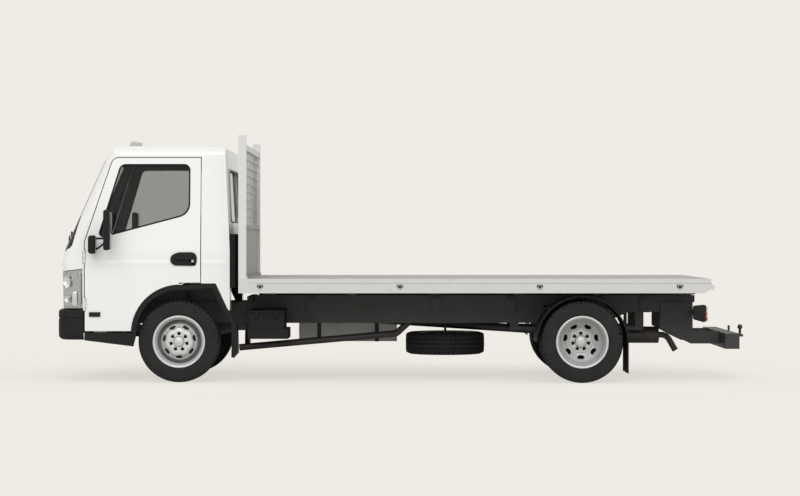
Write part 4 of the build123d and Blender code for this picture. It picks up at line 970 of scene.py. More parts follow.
class TRUCK_OT_mirrors(bpy.types.Operator):
    """Build the door mirrors, handles and side markers"""

    bl_idname = "truck.mirrors"
    bl_label = "Mirrors and handles"

    def execute(self, context):
        for side, name in SIDES:
            body = f"door_{name}"
            parts = [slab(TALL_MIRROR, 1.066, 1.234, 0.018, 0.026), slab(SMALL_MIRROR, 1.026, 1.134, 0.018, 0.028),
                     tube(UPPER_ARM, 0.010), tube(LOWER_ARM, 0.009)]
            parts += [box((-2.932, 0.950, z - 0.022), (-2.888, 0.990, z + 0.022), 0.006)
                      for z in (UPPER_ARM[0][2], LOWER_ARM[0][2])]
            parts += [slab(HANDLE, 0.966, 0.984, 0.006, 0.018), slab(GRIP, 0.980, 1.000, 0.006, 0.010)]
            piece(f"door_mirrors_{name}", on_side(side, parts), body, "trim_black",
                  [f"door_fittings_{name}"])
            faces = [box((-2.730, 1.082, 1.262), (-2.7235, 1.218, 1.594), 0.002),
                     box((-2.878, 1.042, 1.222), (-2.8705, 1.118, 1.366), 0.002)]
            piece(f"mirror_faces_{name}", on_side(side, faces), body, "mirror_face")
            lock = [cone((-1.984, 0.982, 1.137), (0, 1, 0), 0.015, 0.013, 0.006, 28, 0.0015)]
            piece(f"door_lock_{name}", on_side(side, lock), body, "ring_steel")
            marker = [box((-2.953, 0.955, 0.618), (-2.848, 0.978, 0.661), 0.004)]
            piece(f"side_marker_{name}", on_side(side, marker), body, "seal_black")
        return {"FINISHED"}


# Window outlines as corners: across, up, corner radius
DOOR_WINDOW = (
    (-2.877, 1.362, 0.040), (-2.811, 1.362, 0.040), (-2.009, 1.576, 0.130), (-2.009, 2.049, 0.060),
    (-2.666, 2.049, 0.070),
)
WINDSCREEN = ((-0.880, 1.258, 0.060), (0.880, 1.258, 0.060), (0.785, 2.092, 0.060), (-0.785, 2.092, 0.060))
REAR_SCREEN = ((-0.620, 1.500, 0.060), (0.620, 1.500, 0.060), (0.560, 2.012, 0.060), (-0.560, 2.012, 0.060))
SEAL_SUNK, SEAL_THICK = 0.010, 0.012


def on_left_door(u, v, w):
    return Vector((u, -(cab_level(v)[0] - SEAL_SUNK + w), v))


def on_right_door(u, v, w):
    return Vector((u, cab_level(v)[0] - SEAL_SUNK + w, v))


def on_screen(u, v, w):
    return Vector((cab_front(u, v) + SEAL_SUNK - w, u, v))


def on_rear_wall(u, v, w):
    return Vector((-1.640 - 0.052 * max(v - 1.24, 0) / 1.06 + w, u, v))


# Window seals: name, body, outline, share of the seal's width, thickness, surface, finish
SEALS = (
    ("door_window_seal_left", "door_left", DOOR_WINDOW, 1.0, SEAL_THICK, on_left_door, "seal_black"),
    ("door_window_seal_right", "door_right", DOOR_WINDOW, 1.0, SEAL_THICK, on_right_door, "seal_black"),
    ("windscreen_seal", "cab", WINDSCREEN, 1.6, 0.014, on_screen, "seal_black"),
    ("rear_screen_seal", "cab", REAR_SCREEN, 1.0, SEAL_THICK, on_rear_wall, "seal_grey"),
)


def frame_ring(corners, width, thick, place):
    """Flat ring inside an outline, set on a surface by a function of across, up and height."""
    bm = bmesh.new()
    bm.faces.new([bm.verts.new((*point, 0.0)) for point in rounded(corners)])
    long_edges = [edge for edge in bm.edges if edge.calc_length() > 0.15]
    bmesh.ops.subdivide_edges(bm, edges=long_edges, cuts=8)
    ring = bmesh.ops.inset_region(bm, faces=bm.faces[:], thickness=width, use_boundary=True, use_even_offset=True)
    kept = set(ring["faces"])
    bmesh.ops.delete(bm, geom=[face for face in bm.faces if face not in kept], context="FACES")
    for vert in pulled(bm, bm.faces[:], use_keep_orig=True):
        vert.co.z = thick
    face_out(bm)
    round_edges(bm, thick * 0.3, 2, 60.0)
    for vert in bm.verts:
        vert.co = place(*vert.co)
    face_out(bm)
    return bm


class TRUCK_OT_seals(bpy.types.Operator):
    """Build the rubber seals round the windows"""

    bl_idname = "truck.seals"
    bl_label = "Window seals"

    def execute(self, context):
        width = context.scene.truck_sizes.seal_width
        for name, body, outline, share, thick, surface, finish in SEALS:
            piece(name, [frame_ring(outline, width * share, thick, surface)], body, finish)
        return {"FINISHED"}


LAMP_INNER, LAMP_REAR, LAMP_FOOT = 0.728, -3.018, 0.708
# Height of the headlamp's upper edge along the truck
LAMP_BROW = ((-3.299, 1.022), (-3.149, 1.049), (-3.015, 1.065))
# Bowl and bulb, as radius and distance along the aim
BOWL = (
    (0.012, 0.000), (0.024, 0.003), (0.040, 0.010), (0.054, 0.020), (0.066, 0.034), (0.072, 0.046), (0.076, 0.047),
)
BULB = ((0.010, -0.004), (0.011, 0.018), (0.009, 0.026), (0.0, 0.029))
# Place, aim and size of the bowls in a headlamp
LAMP_BOWLS = (
    ((-3.1435, 0.895, 0.945), (-0.75, 0.66, 0.0), 0.76), ((-3.150, 0.901, 0.785), (-0.75, 0.66, 0.0), 0.50),
    ((-3.172, 0.788, 0.940), (-1.0, 0.12, 0.0), 0.68), ((-3.172, 0.788, 0.785), (-1.0, 0.12, 0.0), 0.50),
)
LAMP_BAR = ((-3.118, 0.722), (-3.066, 0.722), (-3.070, 0.850), (-3.112, 0.850))
LAMP_SIGNAL = ((-3.052, 0.730), (-3.030, 0.730), (-3.030, 1.030), (-3.052, 1.020))


def between(table, x):
    """Value of a table of (x, value) rows at x."""
    for low, high in zip(table, table[1:]):
        if x <= high[0]:
            break
    return low[1] + (x - low[0]) / (high[0] - low[0]) * (high[1] - low[1])


def corner_hub(z):
    """Half width, corner radius and the corner's centre as (x, y) at a height of the cab."""
    half, back, bulge, corner = cab_level(z)
    return half, corner, (CAB_NOSE + back + bulge + corner, half - corner)


def bend(hub, turn, angles):
    """Points of (x, y) round a right front corner."""
    return [(hub[0] - turn * math.cos(a), hub[1] + turn * math.sin(a)) for a in angles]


def corner_route(z, inset, inner, rear):
    """Points round the cab's front corner at a height, from near the middle to a place on its side."""
    half, corner, hub = corner_hub(z)
    front = [(cab_front(y, z) + inset, y) for y in (inner, inner + 0.5 * (hub[1] - inner))]
    side = [(hub[0] + share * (rear - hub[0]), half - inset) for share in (0.5, 1.0)]
    return front + bend(hub, corner - inset, QUARTER_TURN) + side


def lamp_rows(inset, margin):
    """Rows of points over a headlamp's face, moved in from the skin and from the lamp's edge."""
    rows = []
    for step in range(9):
        row = []
        for index in range(14):
            level = 0.88
            for attempt in range(3):
                x, y = corner_route(level, inset, LAMP_INNER + margin, LAMP_REAR - margin)[index]
                level = LAMP_FOOT + margin + step / 8 * (between(LAMP_BROW, x) - margin * 2 - LAMP_FOOT)
            row.append(Vector((x, y, level)))
        rows.append(row)
    return rows


def border(rows):
    """Points round the edge of a grid of rows, back to the first."""
    return rows[0] + [row[-1] for row in rows[1:]] + rows[-1][-2::-1] + [row[0] for row in rows[-2::-1]]


def tub(rim_rows, floor_rows):
    """Open housing: a floor and the walls up to a rim."""
    whole = join([sheet(floor_rows), sheet([border(rim_rows), border(floor_rows)])])
    weld(whole)
    return whole


class TRUCK_OT_headlamps(bpy.types.Operator):
    """Build the headlamps: clear lens, bright housing, bowls and bulbs"""

    bl_idname = "truck.headlamps"
    bl_label = "Headlamps"

    def execute(self, context):
        bright = []
        for centre, aim, size in LAMP_BOWLS:
            bright.append(lathe([(radius * size, far * size) for radius, far in BOWL], centre, aim, 36))
            bright.append(lathe(BULB, centre, aim, 20))
        bright.append(slab(with_radius(0.012, *LAMP_BAR), 0.925, 0.945, 0.006))
        rows = (
            ("headlamp_lenses", [sheet(lamp_rows(0.001, 0.000), 0.003)], "lamp_cover", ["headlamps"], 50.0),
            ("headlamp_housings", [tub(lamp_rows(0.006, 0.001), lamp_rows(0.052, 0.004))], "lamp_grey", (), 38.0),
            ("headlamp_bowls", bright, "lamp_bright", (), 38.0),
            ("headlamp_signals", [slab(with_radius(0.010, *LAMP_SIGNAL), 0.935, 0.955, 0.005)], "lamp_smoke", (),
             38.0),
        )
        for name, parts, finish, stands_for, sharp in rows:
            piece(name, both(parts), "cab", finish, stands_for, sharp)
        return {"FINISHED"}


# Edge of the dark windscreen corner seen from the side: height, x of the edge
CORNER_EDGE = ((1.236, -3.176), (1.262, -3.135), (1.290, -3.112), (1.400, -3.084), (1.560, -3.038))
COWL_HALF, COWL_LEVELS = 0.86, (1.244, 1.258, 1.272, 1.286)
TRIM_PROUD = 0.003
# Wipers: y of the pivot, y of the blade's tip
WIPERS = ((0.52, -0.16), (-0.18, -0.80))
WIPER_FOOT = 1.272


def corner_patch(proud):
    """Rows of points over the dark corner between windscreen and pillar."""
    rows = []
    for level, edge in CORNER_EDGE:
        half, corner, hub = corner_hub(level)
        glass = 0.872 - 0.1139 * (level - 1.258)
        first = math.asin(min(max((glass - hub[1]) / corner, 0.0), 1.0))
        last = math.acos(min(max((hub[0] - edge) / corner, 0.0), 1.0))
        angles = [first + (last - first) * step / 5 for step in range(6)]
        rows.append([Vector((x, y, level)) for x, y in bend(hub, corner + proud, angles)])
    return rows


def on_glass(y, z, lift):
    """Place in front of the windscreen."""
    return Vector((cab_front(y, z) - lift, y, z))


def wiper(pivot, tip):
    """Arm, blade and pivot of a wiper."""
    arm = [on_glass(pivot, WIPER_FOOT, 0.012), on_glass(pivot, 1.276, 0.030),
           on_glass(pivot * 0.6 + tip * 0.4, 1.330, 0.034), on_glass(pivot * 0.3 + tip * 0.7, 1.372, 0.030)]
    blade = [on_glass(pivot * (1 - s) + tip * s, 1.318 + 0.085 * s, 0.016) for s in (0.10, 0.4, 0.7, 1.08)]
    foot = cone(on_glass(pivot, WIPER_FOOT, 0.0), (-0.92, 0, 0.4), 0.020, 0.015, 0.036, 20, 0.003)
    return [tube(arm, 0.007), tube(blade, 0.008), foot]


class TRUCK_OT_screen_trim(bpy.types.Operator):
    """Build the dark windscreen corners, the cowl band and the wipers"""

    bl_idname = "truck.screen_trim"
    bl_label = "Windscreen trim"

    def execute(self, context):
        widths = [-COWL_HALF + step * 2 * COWL_HALF / 24 for step in range(25)]
        cowl = sheet([[on_glass(y, z, TRIM_PROUD) for y in widths] for z in COWL_LEVELS], 0.008)
        corners = both([sheet(corner_patch(TRIM_PROUD), 0.006)])
        piece("windscreen_corners", corners + [cowl], "cab", "gloss_black")
        wipers = [part for pivot, tip in WIPERS for part in wiper(pivot, tip)]
        piece("windscreen_wipers", wipers, "cab", "trim_black")
        return {"FINISHED"}


# Section of the pressed line: height, stand-off
SWAGE = ((1.158, -0.002), (1.136, 0.0012), (1.120, 0.0030), (1.110, 0.0024), (1.062, -0.002))


def side_strip(side, front, rear):
    """Pressed line along the cab's side between two places."""
    places = [front + (rear - front) * step / 6 for step in range(7)]
    return sheet([[Vector((x, side * (cab_level(z)[0] + far), z)) for x in places] for z, far in SWAGE])


class TRUCK_OT_body_lines(bpy.types.Operator):
    """Build the pressed line along doors and cab sides"""

    bl_idname = "truck.body_lines"
    bl_label = "Body lines"

    def execute(self, context):
        for side, name in SIDES:
            strips = [side_strip(side, -2.985, -2.200), side_strip(side, -1.940, -1.917)]
            piece(f"door_swage_{name}", strips, f"door_{name}", "cab_white", (), 60.0)
        rear = [side_strip(side, -1.893, -1.660) for side, name in SIDES]
        piece("cab_swages", rear, "cab", "cab_white", (), 60.0)
        return {"FINISHED"}


# Tail lamps from inner to outer y, their lenses from the foot up
TAIL_INNER, TAIL_MARGIN = 0.952, 0.018
TAIL_LENSES = ("lamp_red", "lamp_amber", "lamp_smoke")


class TRUCK_OT_tail_lamps(bpy.types.Operator):
    """Build the tail lamps: black housings with three lenses"""

    bl_idname = "truck.tail_lamps"
    bl_label = "Tail lamps"

    def execute(self, context):
        low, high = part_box("tail_lamps")
        outer = high.y - 0.001
        outline = rounded(((low.x, low.z + 0.034, 0.020), (high.x - 0.020, low.z + 0.004, 0.016),
                           (high.x - 0.012, high.z - 0.004, 0.016), (low.x, high.z - 0.014, 0.020)))
        houses = both([slab(outline, TAIL_INNER, outer, 0.008)])
        piece("tail_lamp_housings", houses, "chassis", "trim_black", ["tail_lamps"])
        height = (high.z - low.z - 2 * TAIL_MARGIN) / len(TAIL_LENSES)
        for index, finish in enumerate(TAIL_LENSES):
            foot = low.z + TAIL_MARGIN + index * height
            pane = box((high.x - 0.022, TAIL_INNER + 0.010, foot + 0.002),
                       (high.x, outer - 0.010, foot + height - 0.002), 0.007)
            piece(f"tail_{finish}", both([pane]), "chassis", finish)
        return {"FINISHED"}


RING_PLACES = (-1.347, -0.0463, 1.2543, 2.555)
RING_RADIUS, RING_WIRE = 0.0185, 0.0042


class TRUCK_OT_lashing_rings(bpy.types.Operator):
    """Build the lashing rings, with dark plates on the side rails as painted shade of their recesses"""

    bl_idname = "truck.lashing_rings"
    bl_label = "Lashing rings"

    def execute(self, context):
        rings, shaded_pockets = [], []
        wire = [(RING_RADIUS + RING_WIRE * math.cos(a), RING_WIRE * math.sin(a))
                for a in (step * math.tau / 10 for step in range(10))]
        for x in RING_PLACES:
            # Dark plate on the rail face: painted shade of the ring's recess
            wide = with_radius(0.015, (x - 0.030, 0.888), (x + 0.030, 0.888), (x + 0.030, 0.922),
                               (x - 0.030, 0.922))
            shaded_pockets.append(slab(wide, 1.0985, 1.1012))
            rings.append(lathe(wire, (x, 1.1042, 0.9005), (0, 1, 0.12), 32, closed=True))
            clip = with_radius(0.004, (x - 0.011, 0.912), (x + 0.011, 0.912), (x + 0.009, 0.927),
                               (x - 0.009, 0.927))
            rings.append(slab(clip, 1.099, 1.1085, 0.003))
        piece("lashing_ring_loops", both(rings), "chassis", "ring_steel", ["lashing_rings"])
        piece("lashing_ring_pocket_shade", both(shaded_pockets), "chassis", "nut_dark")
        return {"FINISHED"}


def pillow(corners, low_y, high_y):
    """Stuffed shape with a rounded side outline, drawn in towards its two ends."""
    outline = rounded(corners)
    middle = sum(outline, Vector((0.0, 0.0))) / len(outline)
    rows = []
    for step in range(-8, 9):
        turn = step / 8 * math.pi / 2
        y = (low_y + high_y) / 2 + (high_y - low_y) / 2 * math.sin(turn)
        scale = 0.84 + 0.16 * math.cos(turn) ** 0.6
        row = [middle + (point - middle) * scale for point in outline]
        rows.append([Vector((point.x, y, point.y)) for point in row + row[:1]])
    bm = sheet(rows)
    weld(bm, fill=True)
    return bm


# Seat places across the cab: low y, high y
SEAT_PLACES = ((-0.832, -0.306), (-0.298, 0.228), (0.314, 0.832))
SEAT_CUSHION = ((-2.368, 0.994, 0.030), (-1.938, 0.994, 0.030), (-1.958, 1.108, 0.030), (-2.376, 1.122, 0.050))
SEAT_BACK = ((-1.966, 1.092, 0.028), (-1.838, 1.010, 0.020), (-1.790, 1.606, 0.048), (-1.890, 1.612, 0.044))
HEADREST = ((-1.880, 1.622, 0.030), (-1.796, 1.626, 0.030), (-1.792, 1.786, 0.036), (-1.872, 1.786, 0.036))
HEADREST_HALF, HEADREST_POST = 0.118, 0.06


class TRUCK_OT_seats(bpy.types.Operator):
    """Build the padded seats"""

    bl_idname = "truck.seats"
    bl_label = "Seats"

    def execute(self, context):
        pads, posts = [], []
        for low, high in SEAT_PLACES:
            pads += [pillow(SEAT_CUSHION, low, high), pillow(SEAT_BACK, low, high)]
            centre = (low + high) / 2
            pads.append(pillow(HEADREST, centre - HEADREST_HALF, centre + HEADREST_HALF))
            for y in (centre - HEADREST_POST, centre + HEADREST_POST):
                posts.append(tube([(-1.838, y, 1.58), (-1.838, y, 1.62), (-1.836, y, 1.66)], 0.007))
        cushions = piece("seat_cushions", pads, "cab", "seat_cloth", ["seats"], 60.0)
        piece("headrest_posts", posts, "cab", "ring_steel")
        return {"FINISHED"}


GUARD_X, GUARD_HALF = -1.496, 1.049
WIRE_RADIUS = 0.002


def spaced(low, high, pitch):
    """Places inside a range, evenly spaced by about a pitch."""
    count = round((high - low) / pitch)
    return [low + (high - low) * index / count for index in range(1, count)]


class TRUCK_OT_headboard_mesh(bpy.types.Operator):
    """Build the wire mesh of the headboard"""

    bl_idname = "truck.headboard_mesh"
    bl_label = "Headboard mesh"

    def execute(self, context):
        pitch = context.scene.truck_sizes.mesh_pitch
        tall, wide = GUARD_TOP - GUARD_FOOT, 2 * GUARD_HALF
        wires = [cone((GUARD_X, y, GUARD_FOOT), (0, 0, 1), WIRE_RADIUS, WIRE_RADIUS, tall, 6)
                 for y in spaced(-GUARD_HALF, GUARD_HALF, pitch)]
        wires += [cone((GUARD_X + 2 * WIRE_RADIUS, -GUARD_HALF, z), (0, 1, 0), WIRE_RADIUS, WIRE_RADIUS, wide, 6)
                  for z in spaced(GUARD_FOOT, GUARD_TOP, pitch)]
        piece("headboard_wires", wires, "chassis", "zinc_wire")
        return {"FINISHED"}


SPRING_Y, RAIL_FACE = 0.345, 0.375
BRACKETS = (-0.90, 0.30, 1.02, 2.30)
BRACKET_BOLTS = ((-0.036, 0.668), (0.036, 0.668), (-0.026, 0.774), (0.026, 0.774))
FRONT_CHANNEL = (
    (-1.515, 0.738, 0.004), (-1.455, 0.738, 0.004), (-1.455, 0.796, 0.010), (-1.515, 0.796, 0.010),
)
# Tank straps: stand-off, half width, wall, distance from the tank's ends
STRAP_GAP, STRAP_HALF, STRAP_WALL, STRAP_PLACE = 0.003, 0.020, 0.003, 0.20
TANK_CAP = ((0.048, -0.004), (0.048, 0.022), (0.044, 0.030), (0.030, 0.032), (0.026, 0.028), (0.0, 0.028))


def spring_clamp():
    """U-bolts, nuts and plate that hold the rear axle to a spring."""
    inner, outer = SPRING_Y - 0.037, SPRING_Y + 0.037
    made = []
    for x in (REAR_AXLE_X - 0.055, REAR_AXLE_X + 0.055):
        made.append(tube([(x, inner, 0.290), (x, inner, 0.400), (x, inner, 0.512), (x, SPRING_Y, 0.530),
                          (x, outer, 0.512), (x, outer, 0.400), (x, outer, 0.290)], 0.007))
        made += [cone((x, y, 0.296), (0, 0, -1), 0.012, 0.012, 0.012, 6, 0.001) for y in (inner, outer)]
    made.append(box((REAR_AXLE_X - 0.080, SPRING_Y - 0.055, 0.297), (REAR_AXLE_X + 0.080, SPRING_Y + 0.055, 0.311),
                    0.004))
    return made


def body_bracket(x):
    """Plate with four bolts that holds the tray's underframe to a rail."""
    outline = rounded(((x - 0.060, 0.640, 0.012), (x + 0.060, 0.640, 0.012), (x + 0.045, 0.800, 0.016),
                       (x - 0.045, 0.800, 0.016)))
    return [slab(outline, RAIL_FACE - 0.001, RAIL_FACE + 0.009, 0.002)] + [
        cone((x + off, RAIL_FACE + 0.008, z), (0, 1, 0), 0.011, 0.011, 0.009, 6, 0.0015)
        for off, z in BRACKET_BOLTS]


def tank_strap(low, high, middle_x):
    """Strap round a tank between two corners."""
    left, right, foot, top = low.y - 0.001, high.y + STRAP_GAP, low.z - STRAP_GAP, high.z + STRAP_GAP
    outline = with_radius(0.058, (left, foot), (right, foot), (right, top), (left, top))
    outline.append(outline[0])
    places = (middle_x - STRAP_HALF, middle_x + STRAP_HALF)
    return sheet([[Vector((x, point.x, point.y)) for point in outline] for x in places], STRAP_WALL)


class TRUCK_OT_chassis_fittings(bpy.types.Operator):
    """Build U-bolts, body brackets, tank straps and battery lid"""

    bl_idname = "truck.chassis_fittings"
    bl_label = "Chassis fittings"

    def execute(self, context):
        metal = spring_clamp() + [part for x in BRACKETS for part in body_bracket(x)]
        piece("chassis_bolts", both(metal), "chassis", "frame_black")
        channel = slab(rounded(FRONT_CHANNEL), -0.374, 0.374, 0.003)
        piece("tray_front_channel", [channel], "chassis", "frame_black")
        low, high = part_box("fuel_tank")
        straps = [tank_strap(low, high, x) for x in (low.x + STRAP_PLACE, high.x - STRAP_PLACE)]
        cap = lathe(TANK_CAP, (low.x + 0.48, high.y, high.z - 0.090), (0, 1, 0), 40)
        piece("fuel_tank_straps", straps + [cap], "chassis", "frame_black")
        low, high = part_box("battery_box")
        lid = box((low.x + 0.006, low.y - 0.004, high.z - 0.022),
                  (high.x - 0.030, high.y - 0.004, high.z + 0.010), 0.010)
        clips = [box((x - 0.016, low.y - 0.008, high.z - 0.070), (x + 0.016, low.y + 0.012, high.z + 0.004), 0.005)
                 for x in (low.x + 0.085, high.x - 0.115)]
        piece("battery_lid", [lid] + clips, "chassis", "box_black")
        return {"FINISHED"}


BUMPER_NOSE, BUMPER_TAIL = -3.299, -3.007
BUMPER_HALF, BUMPER_BULGE, BUMPER_TURN = 0.965, 0.045, 0.130
BUMPER_FOOT, BUMPER_HEAD, BUMPER_ROUND = 0.401, 0.685, 0.055
# Air intake: half width, foot, head, depth, and heights of its slats
INTAKE_HALF, INTAKE_FOOT, INTAKE_HEAD, INTAKE_DEPTH = 0.330, 0.471, 0.531, 0.022
SLAT_LEVELS = (0.488, 0.504, 0.520)
# Section of a slat: distance back, height
SLAT = ((0.004, 0.0), (0.012, -0.004), (0.019, -0.006))
# Places across the bumper's front face
BUMPER_STATIONS = (0.0, 0.11, 0.22, 0.33, 0.45, 0.57, 0.70, 0.78)
# Groove in the bumper's face and its inner wall: height, inset
BUMPER_GROOVE = ((0.592, 0.0), (0.598, 0.005), (0.608, 0.005), (0.614, 0.0))
BUMPER_WALL = ((BUMPER_HEAD - 0.004, 0.030), (0.560, 0.030), (BUMPER_FOOT + 0.050, 0.030), (BUMPER_FOOT, 0.054))
FOG_Y, FOG_Z = 0.63, 0.512
FOG_RING = ((0.060, -0.008), (0.059, 0.008), (0.055, 0.012), (0.050, 0.009), (0.047, -0.004))
FOG_LENS = ((0.048, -0.002), (0.042, 0.002), (0.024, 0.005), (0.0, 0.006))


def bumper_front(y, inset=0.0):
    """X of the bumper's front face at a width."""
    return bowed(BUMPER_NOSE + inset, BUMPER_HALF - BUMPER_TURN, BUMPER_BULGE, y)


def bumper_row(z, inset):
    """Points round the bumper at a height, moved in from its face."""
    turn = BUMPER_TURN - inset / 2
    hub = (BUMPER_NOSE + inset + BUMPER_BULGE + turn, BUMPER_HALF - inset - turn)
    half = [(bumper_front(y, inset), y) for y in BUMPER_STATIONS] + bend(hub, turn, QUARTER_TURN)
    half += [(BUMPER_TAIL - 0.055, hub[1] + turn), (BUMPER_TAIL, hub[1] + turn)]
    row = []
    for x, y in [(x, -y) for x, y in half[:0:-1]] + half:
        short = max(BUMPER_ROUND - (x - BUMPER_NOSE), 0.0)
        drawn = BUMPER_ROUND - math.sqrt(max(BUMPER_ROUND**2 - short**2, 0.0))
        row.append(Vector((x, y, min(max(z, BUMPER_FOOT + drawn), BUMPER_HEAD - drawn))))
    return row


def quarter(radius, first, last):
    """Insets and heights round a quarter bend."""
    turns = [math.radians(first + (last - first) * step / BEND_STEPS) for step in range(BEND_STEPS + 1)]
    return [(radius * (1 - math.sin(turn)), radius * (1 - math.cos(turn))) for turn in turns]


def bumper_shell():
    """Hollow bumper with the mouth of its air intake."""
    skin = [(BUMPER_FOOT + high, inset) for inset, high in quarter(0.048, 0.0, 90.0)]
    skin += [(INTAKE_FOOT, 0.0), (INTAKE_HEAD, 0.0), *BUMPER_GROOVE]
    skin += [(BUMPER_HEAD - high, inset) for inset, high in quarter(0.024, 90.0, 0.0)]
    rows = [bumper_row(z, inset) for z, inset in [*skin, *BUMPER_WALL]]
    shell = sheet(rows + rows[:1])
    weld(shell, fill=True)
    mouth = []
    for face in shell.faces:
        spot = face.calc_center_median()
        if abs(spot.y) < INTAKE_HALF and INTAKE_FOOT < spot.z < INTAKE_HEAD and spot.x < BUMPER_NOSE + 0.015:
            mouth.append(face)
    for vert in pulled(shell, mouth):
        vert.co.x += INTAKE_DEPTH
    bmesh.ops.delete(shell, geom=mouth, context="FACES")
    face_out(shell)
    return shell


class TRUCK_OT_bumper(bpy.types.Operator):
    """Build the moulded front bumper with its intake slats and fog lamps"""

    bl_idname = "truck.bumper"
    bl_label = "Front bumper"

    def execute(self, context):
        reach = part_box("front_bumper")[1].x
        arms = both([box((BUMPER_NOSE + 0.030, 0.375, 0.558), (reach, 0.415, 0.628), 0.004)])
        piece("front_bumper_skin", [bumper_shell()] + arms, "chassis", "trim_black",
              ["front_bumper"], 32.0)
        half = INTAKE_HALF - 0.004
        widths = [-half + step * 2 * half / 16 for step in range(17)]
        slats = [sheet([[Vector((bumper_front(y) + back, y, z + drop)) for y in widths]
                        for back, drop in SLAT], 0.004) for z in SLAT_LEVELS]
        piece("bumper_intake_slats", slats, "chassis", "gloss_black")
        fogs = [(Vector((bumper_front(FOG_Y) + 0.003, side * FOG_Y, FOG_Z)), (-1.0, side * 0.08, 0.0))
                for side, name in SIDES]
        rings = [lathe(FOG_RING, spot, aim, 40) for spot, aim in fogs]
        lenses = [lathe(FOG_LENS, spot, aim, 36) for spot, aim in fogs]
        piece("fog_lamp_rings", rings, "chassis", "gloss_black")
        piece("fog_lamp_lenses", lenses, "chassis", "lamp_bright")
        return {"FINISHED"}


SILL_END = ((-2.999, 0.402), (-2.978, 0.400), (-2.978, 0.474), (-2.999, 0.474))


class TRUCK_OT_cab_details(bpy.types.Operator):
    """Build the roof marker lamps and the front ends of the sills"""

    bl_idname = "truck.cab_details"
    bl_label = "Cab details"

    def execute(self, context):
        low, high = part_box("roof_lamps")
        top = high.z + 0.010
        outline = ((low.x, top - 0.070, 0.004), (high.x, top - 0.070, 0.004),
                   (high.x - 0.004, top - 0.016, 0.014), (low.x + 0.030, top, 0.026))
        dome = pillow(outline, high.y - 0.080, high.y)
        piece("roof_lamp_domes", both([dome]), "cab", "lamp_pale", ["roof_lamps"], 60.0)
        feet = both([slab(SILL_END, 0.905, 0.955, 0.004)])
        piece("sill_front_ends", feet, "cab", "trim_black")
        return {"FINISHED"}


# Soft lights: name, direction, share of the key light, angle across
LIGHTS = (("key", (0.15, 1.0, -0.85), 1.0, 50.0), ("side", (-0.9, 0.55, -0.7), 0.35, 60.0))
# Floor: half size, strength of its plain tone and share of that tone in the picture
FLOOR_SIZE, FLOOR_GLOW, FLOOR_SHARE = 250.0, 1.037, 0.72


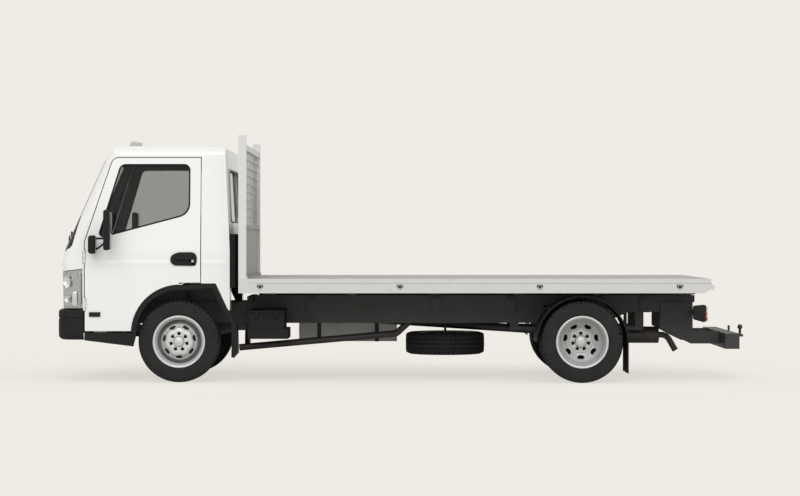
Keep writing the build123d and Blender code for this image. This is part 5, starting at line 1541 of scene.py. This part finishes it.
class TRUCK_OT_stage(bpy.types.Operator):
    """Set up the floor, the light and the camera"""

    bl_idname = "truck.stage"
    bl_label = "Stage"

    def execute(self, context):
        scene = context.scene
        scene.view_settings.view_transform = "Standard"
        self.world(scene, scene.truck_stage)
        self.floor(scene, scene.truck_stage)
        self.lights(scene, scene.truck_stage)
        self.camera(scene, scene.truck_stage)
        return {"FINISHED"}

    def world(self, scene, look):
        scene.world = bpy.data.worlds.new("studio")
        w = Nodes(scene.world)
        camera, glossy, through = [w.node("ShaderNodeLightPath", output=f"Is {ray} Ray")
                                   for ray in ("Camera", "Glossy", "Transmission")]
        seen = camera.join("MAXIMUM", camera, glossy.join("MAXIMUM", glossy, through))
        even = w.node("ShaderNodeBackground", {}, {"Color": rgba(grey(1.0)), "Strength": look.fill_light})
        shown = w.node("ShaderNodeBackground", {}, {"Color": rgba(look.backdrop)})
        mixed = w.node("ShaderNodeMixShader", {}, {0: seen, 1: even, 2: shown})
        w.node("ShaderNodeOutputWorld", {}, {"Surface": mixed})

    def floor(self, scene, look):
        f = Finish("studio_floor")
        tone = f.blend(f.noise(0.5) * 0.02, rgba(look.backdrop), shade(look.backdrop, 0.98))
        lit = f.node("ShaderNodeBsdfDiffuse", {}, {"Color": tone})
        plain = f.node("ShaderNodeEmission", {}, {"Color": rgba(look.backdrop), "Strength": FLOOR_GLOW})
        ray = f.node("ShaderNodeLightPath", output="Is Camera Ray")
        f.close(f.node("ShaderNodeMixShader", {}, {0: ray * FLOOR_SHARE, 1: lit, 2: plain}))
        bm = bmesh.new()
        bmesh.ops.create_grid(bm, x_segments=2, y_segments=2, size=FLOOR_SIZE)
        mesh = bpy.data.meshes.new("floor")
        bm.to_mesh(mesh)
        bm.free()
        mesh.materials.append(f.material)
        floor = bpy.data.objects.new("floor", mesh)
        scene.collection.objects.link(floor)

    def lights(self, scene, look):
        for name, aim, share, angle in LIGHTS:
            lamp = bpy.data.lights.new(name, "SUN")
            lamp.energy = look.key_light * share
            lamp.angle = math.radians(angle)
            holder = bpy.data.objects.new(name, lamp)
            holder.rotation_mode = "QUATERNION"
            holder.rotation_quaternion = Vector(aim).to_track_quat("-Z", "Y")
            scene.collection.objects.link(holder)

    def camera(self, scene, look):
        data = bpy.data.cameras.new("photo_camera")
        data.lens = look.lens
        data.sensor_width = 36.0
        data.shift_y = -0.015
        data.clip_end = 500.0
        camera = bpy.data.objects.new("photo_camera", data)
        camera.location = look.camera_place
        camera.rotation_euler = (math.pi / 2, 0, 0)
        scene.collection.objects.link(camera)
        scene.camera = camera


STEPS = (
    TRUCK_OT_finishes, TRUCK_OT_tyres, TRUCK_OT_wheels, TRUCK_OT_mirrors, TRUCK_OT_seals, TRUCK_OT_headlamps,
    TRUCK_OT_screen_trim, TRUCK_OT_body_lines, TRUCK_OT_tail_lamps, TRUCK_OT_lashing_rings, TRUCK_OT_seats,
    TRUCK_OT_headboard_mesh, TRUCK_OT_chassis_fittings, TRUCK_OT_bumper, TRUCK_OT_cab_details, TRUCK_OT_stage,
)


class VIEW3D_PT_truck(bpy.types.Panel):
    """Lists the truck's build steps"""

    bl_label = "Flatbed truck"
    bl_space_type = "VIEW_3D"
    bl_region_type = "UI"
    bl_category = "Truck"

    def draw(self, context):
        for step in STEPS:
            self.layout.operator(step.bl_idname)


CLASSES = (TruckColours, TruckSizes, TruckStage, *STEPS, VIEW3D_PT_truck)


def register():
    for cls in CLASSES:
        bpy.utils.register_class(cls)
    bpy.types.Scene.truck_colours = PointerProperty(type=TruckColours)
    bpy.types.Scene.truck_sizes = PointerProperty(type=TruckSizes)
    bpy.types.Scene.truck_stage = PointerProperty(type=TruckStage)


def unregister():
    del bpy.types.Scene.truck_colours
    del bpy.types.Scene.truck_sizes
    del bpy.types.Scene.truck_stage
    for cls in reversed(CLASSES):
        bpy.utils.unregister_class(cls)


def main():
    register()
    for step in STEPS:
        group, action = step.bl_idname.split(".")
        getattr(getattr(bpy.ops, group), action)()


if __name__ == "__main__":
    main()
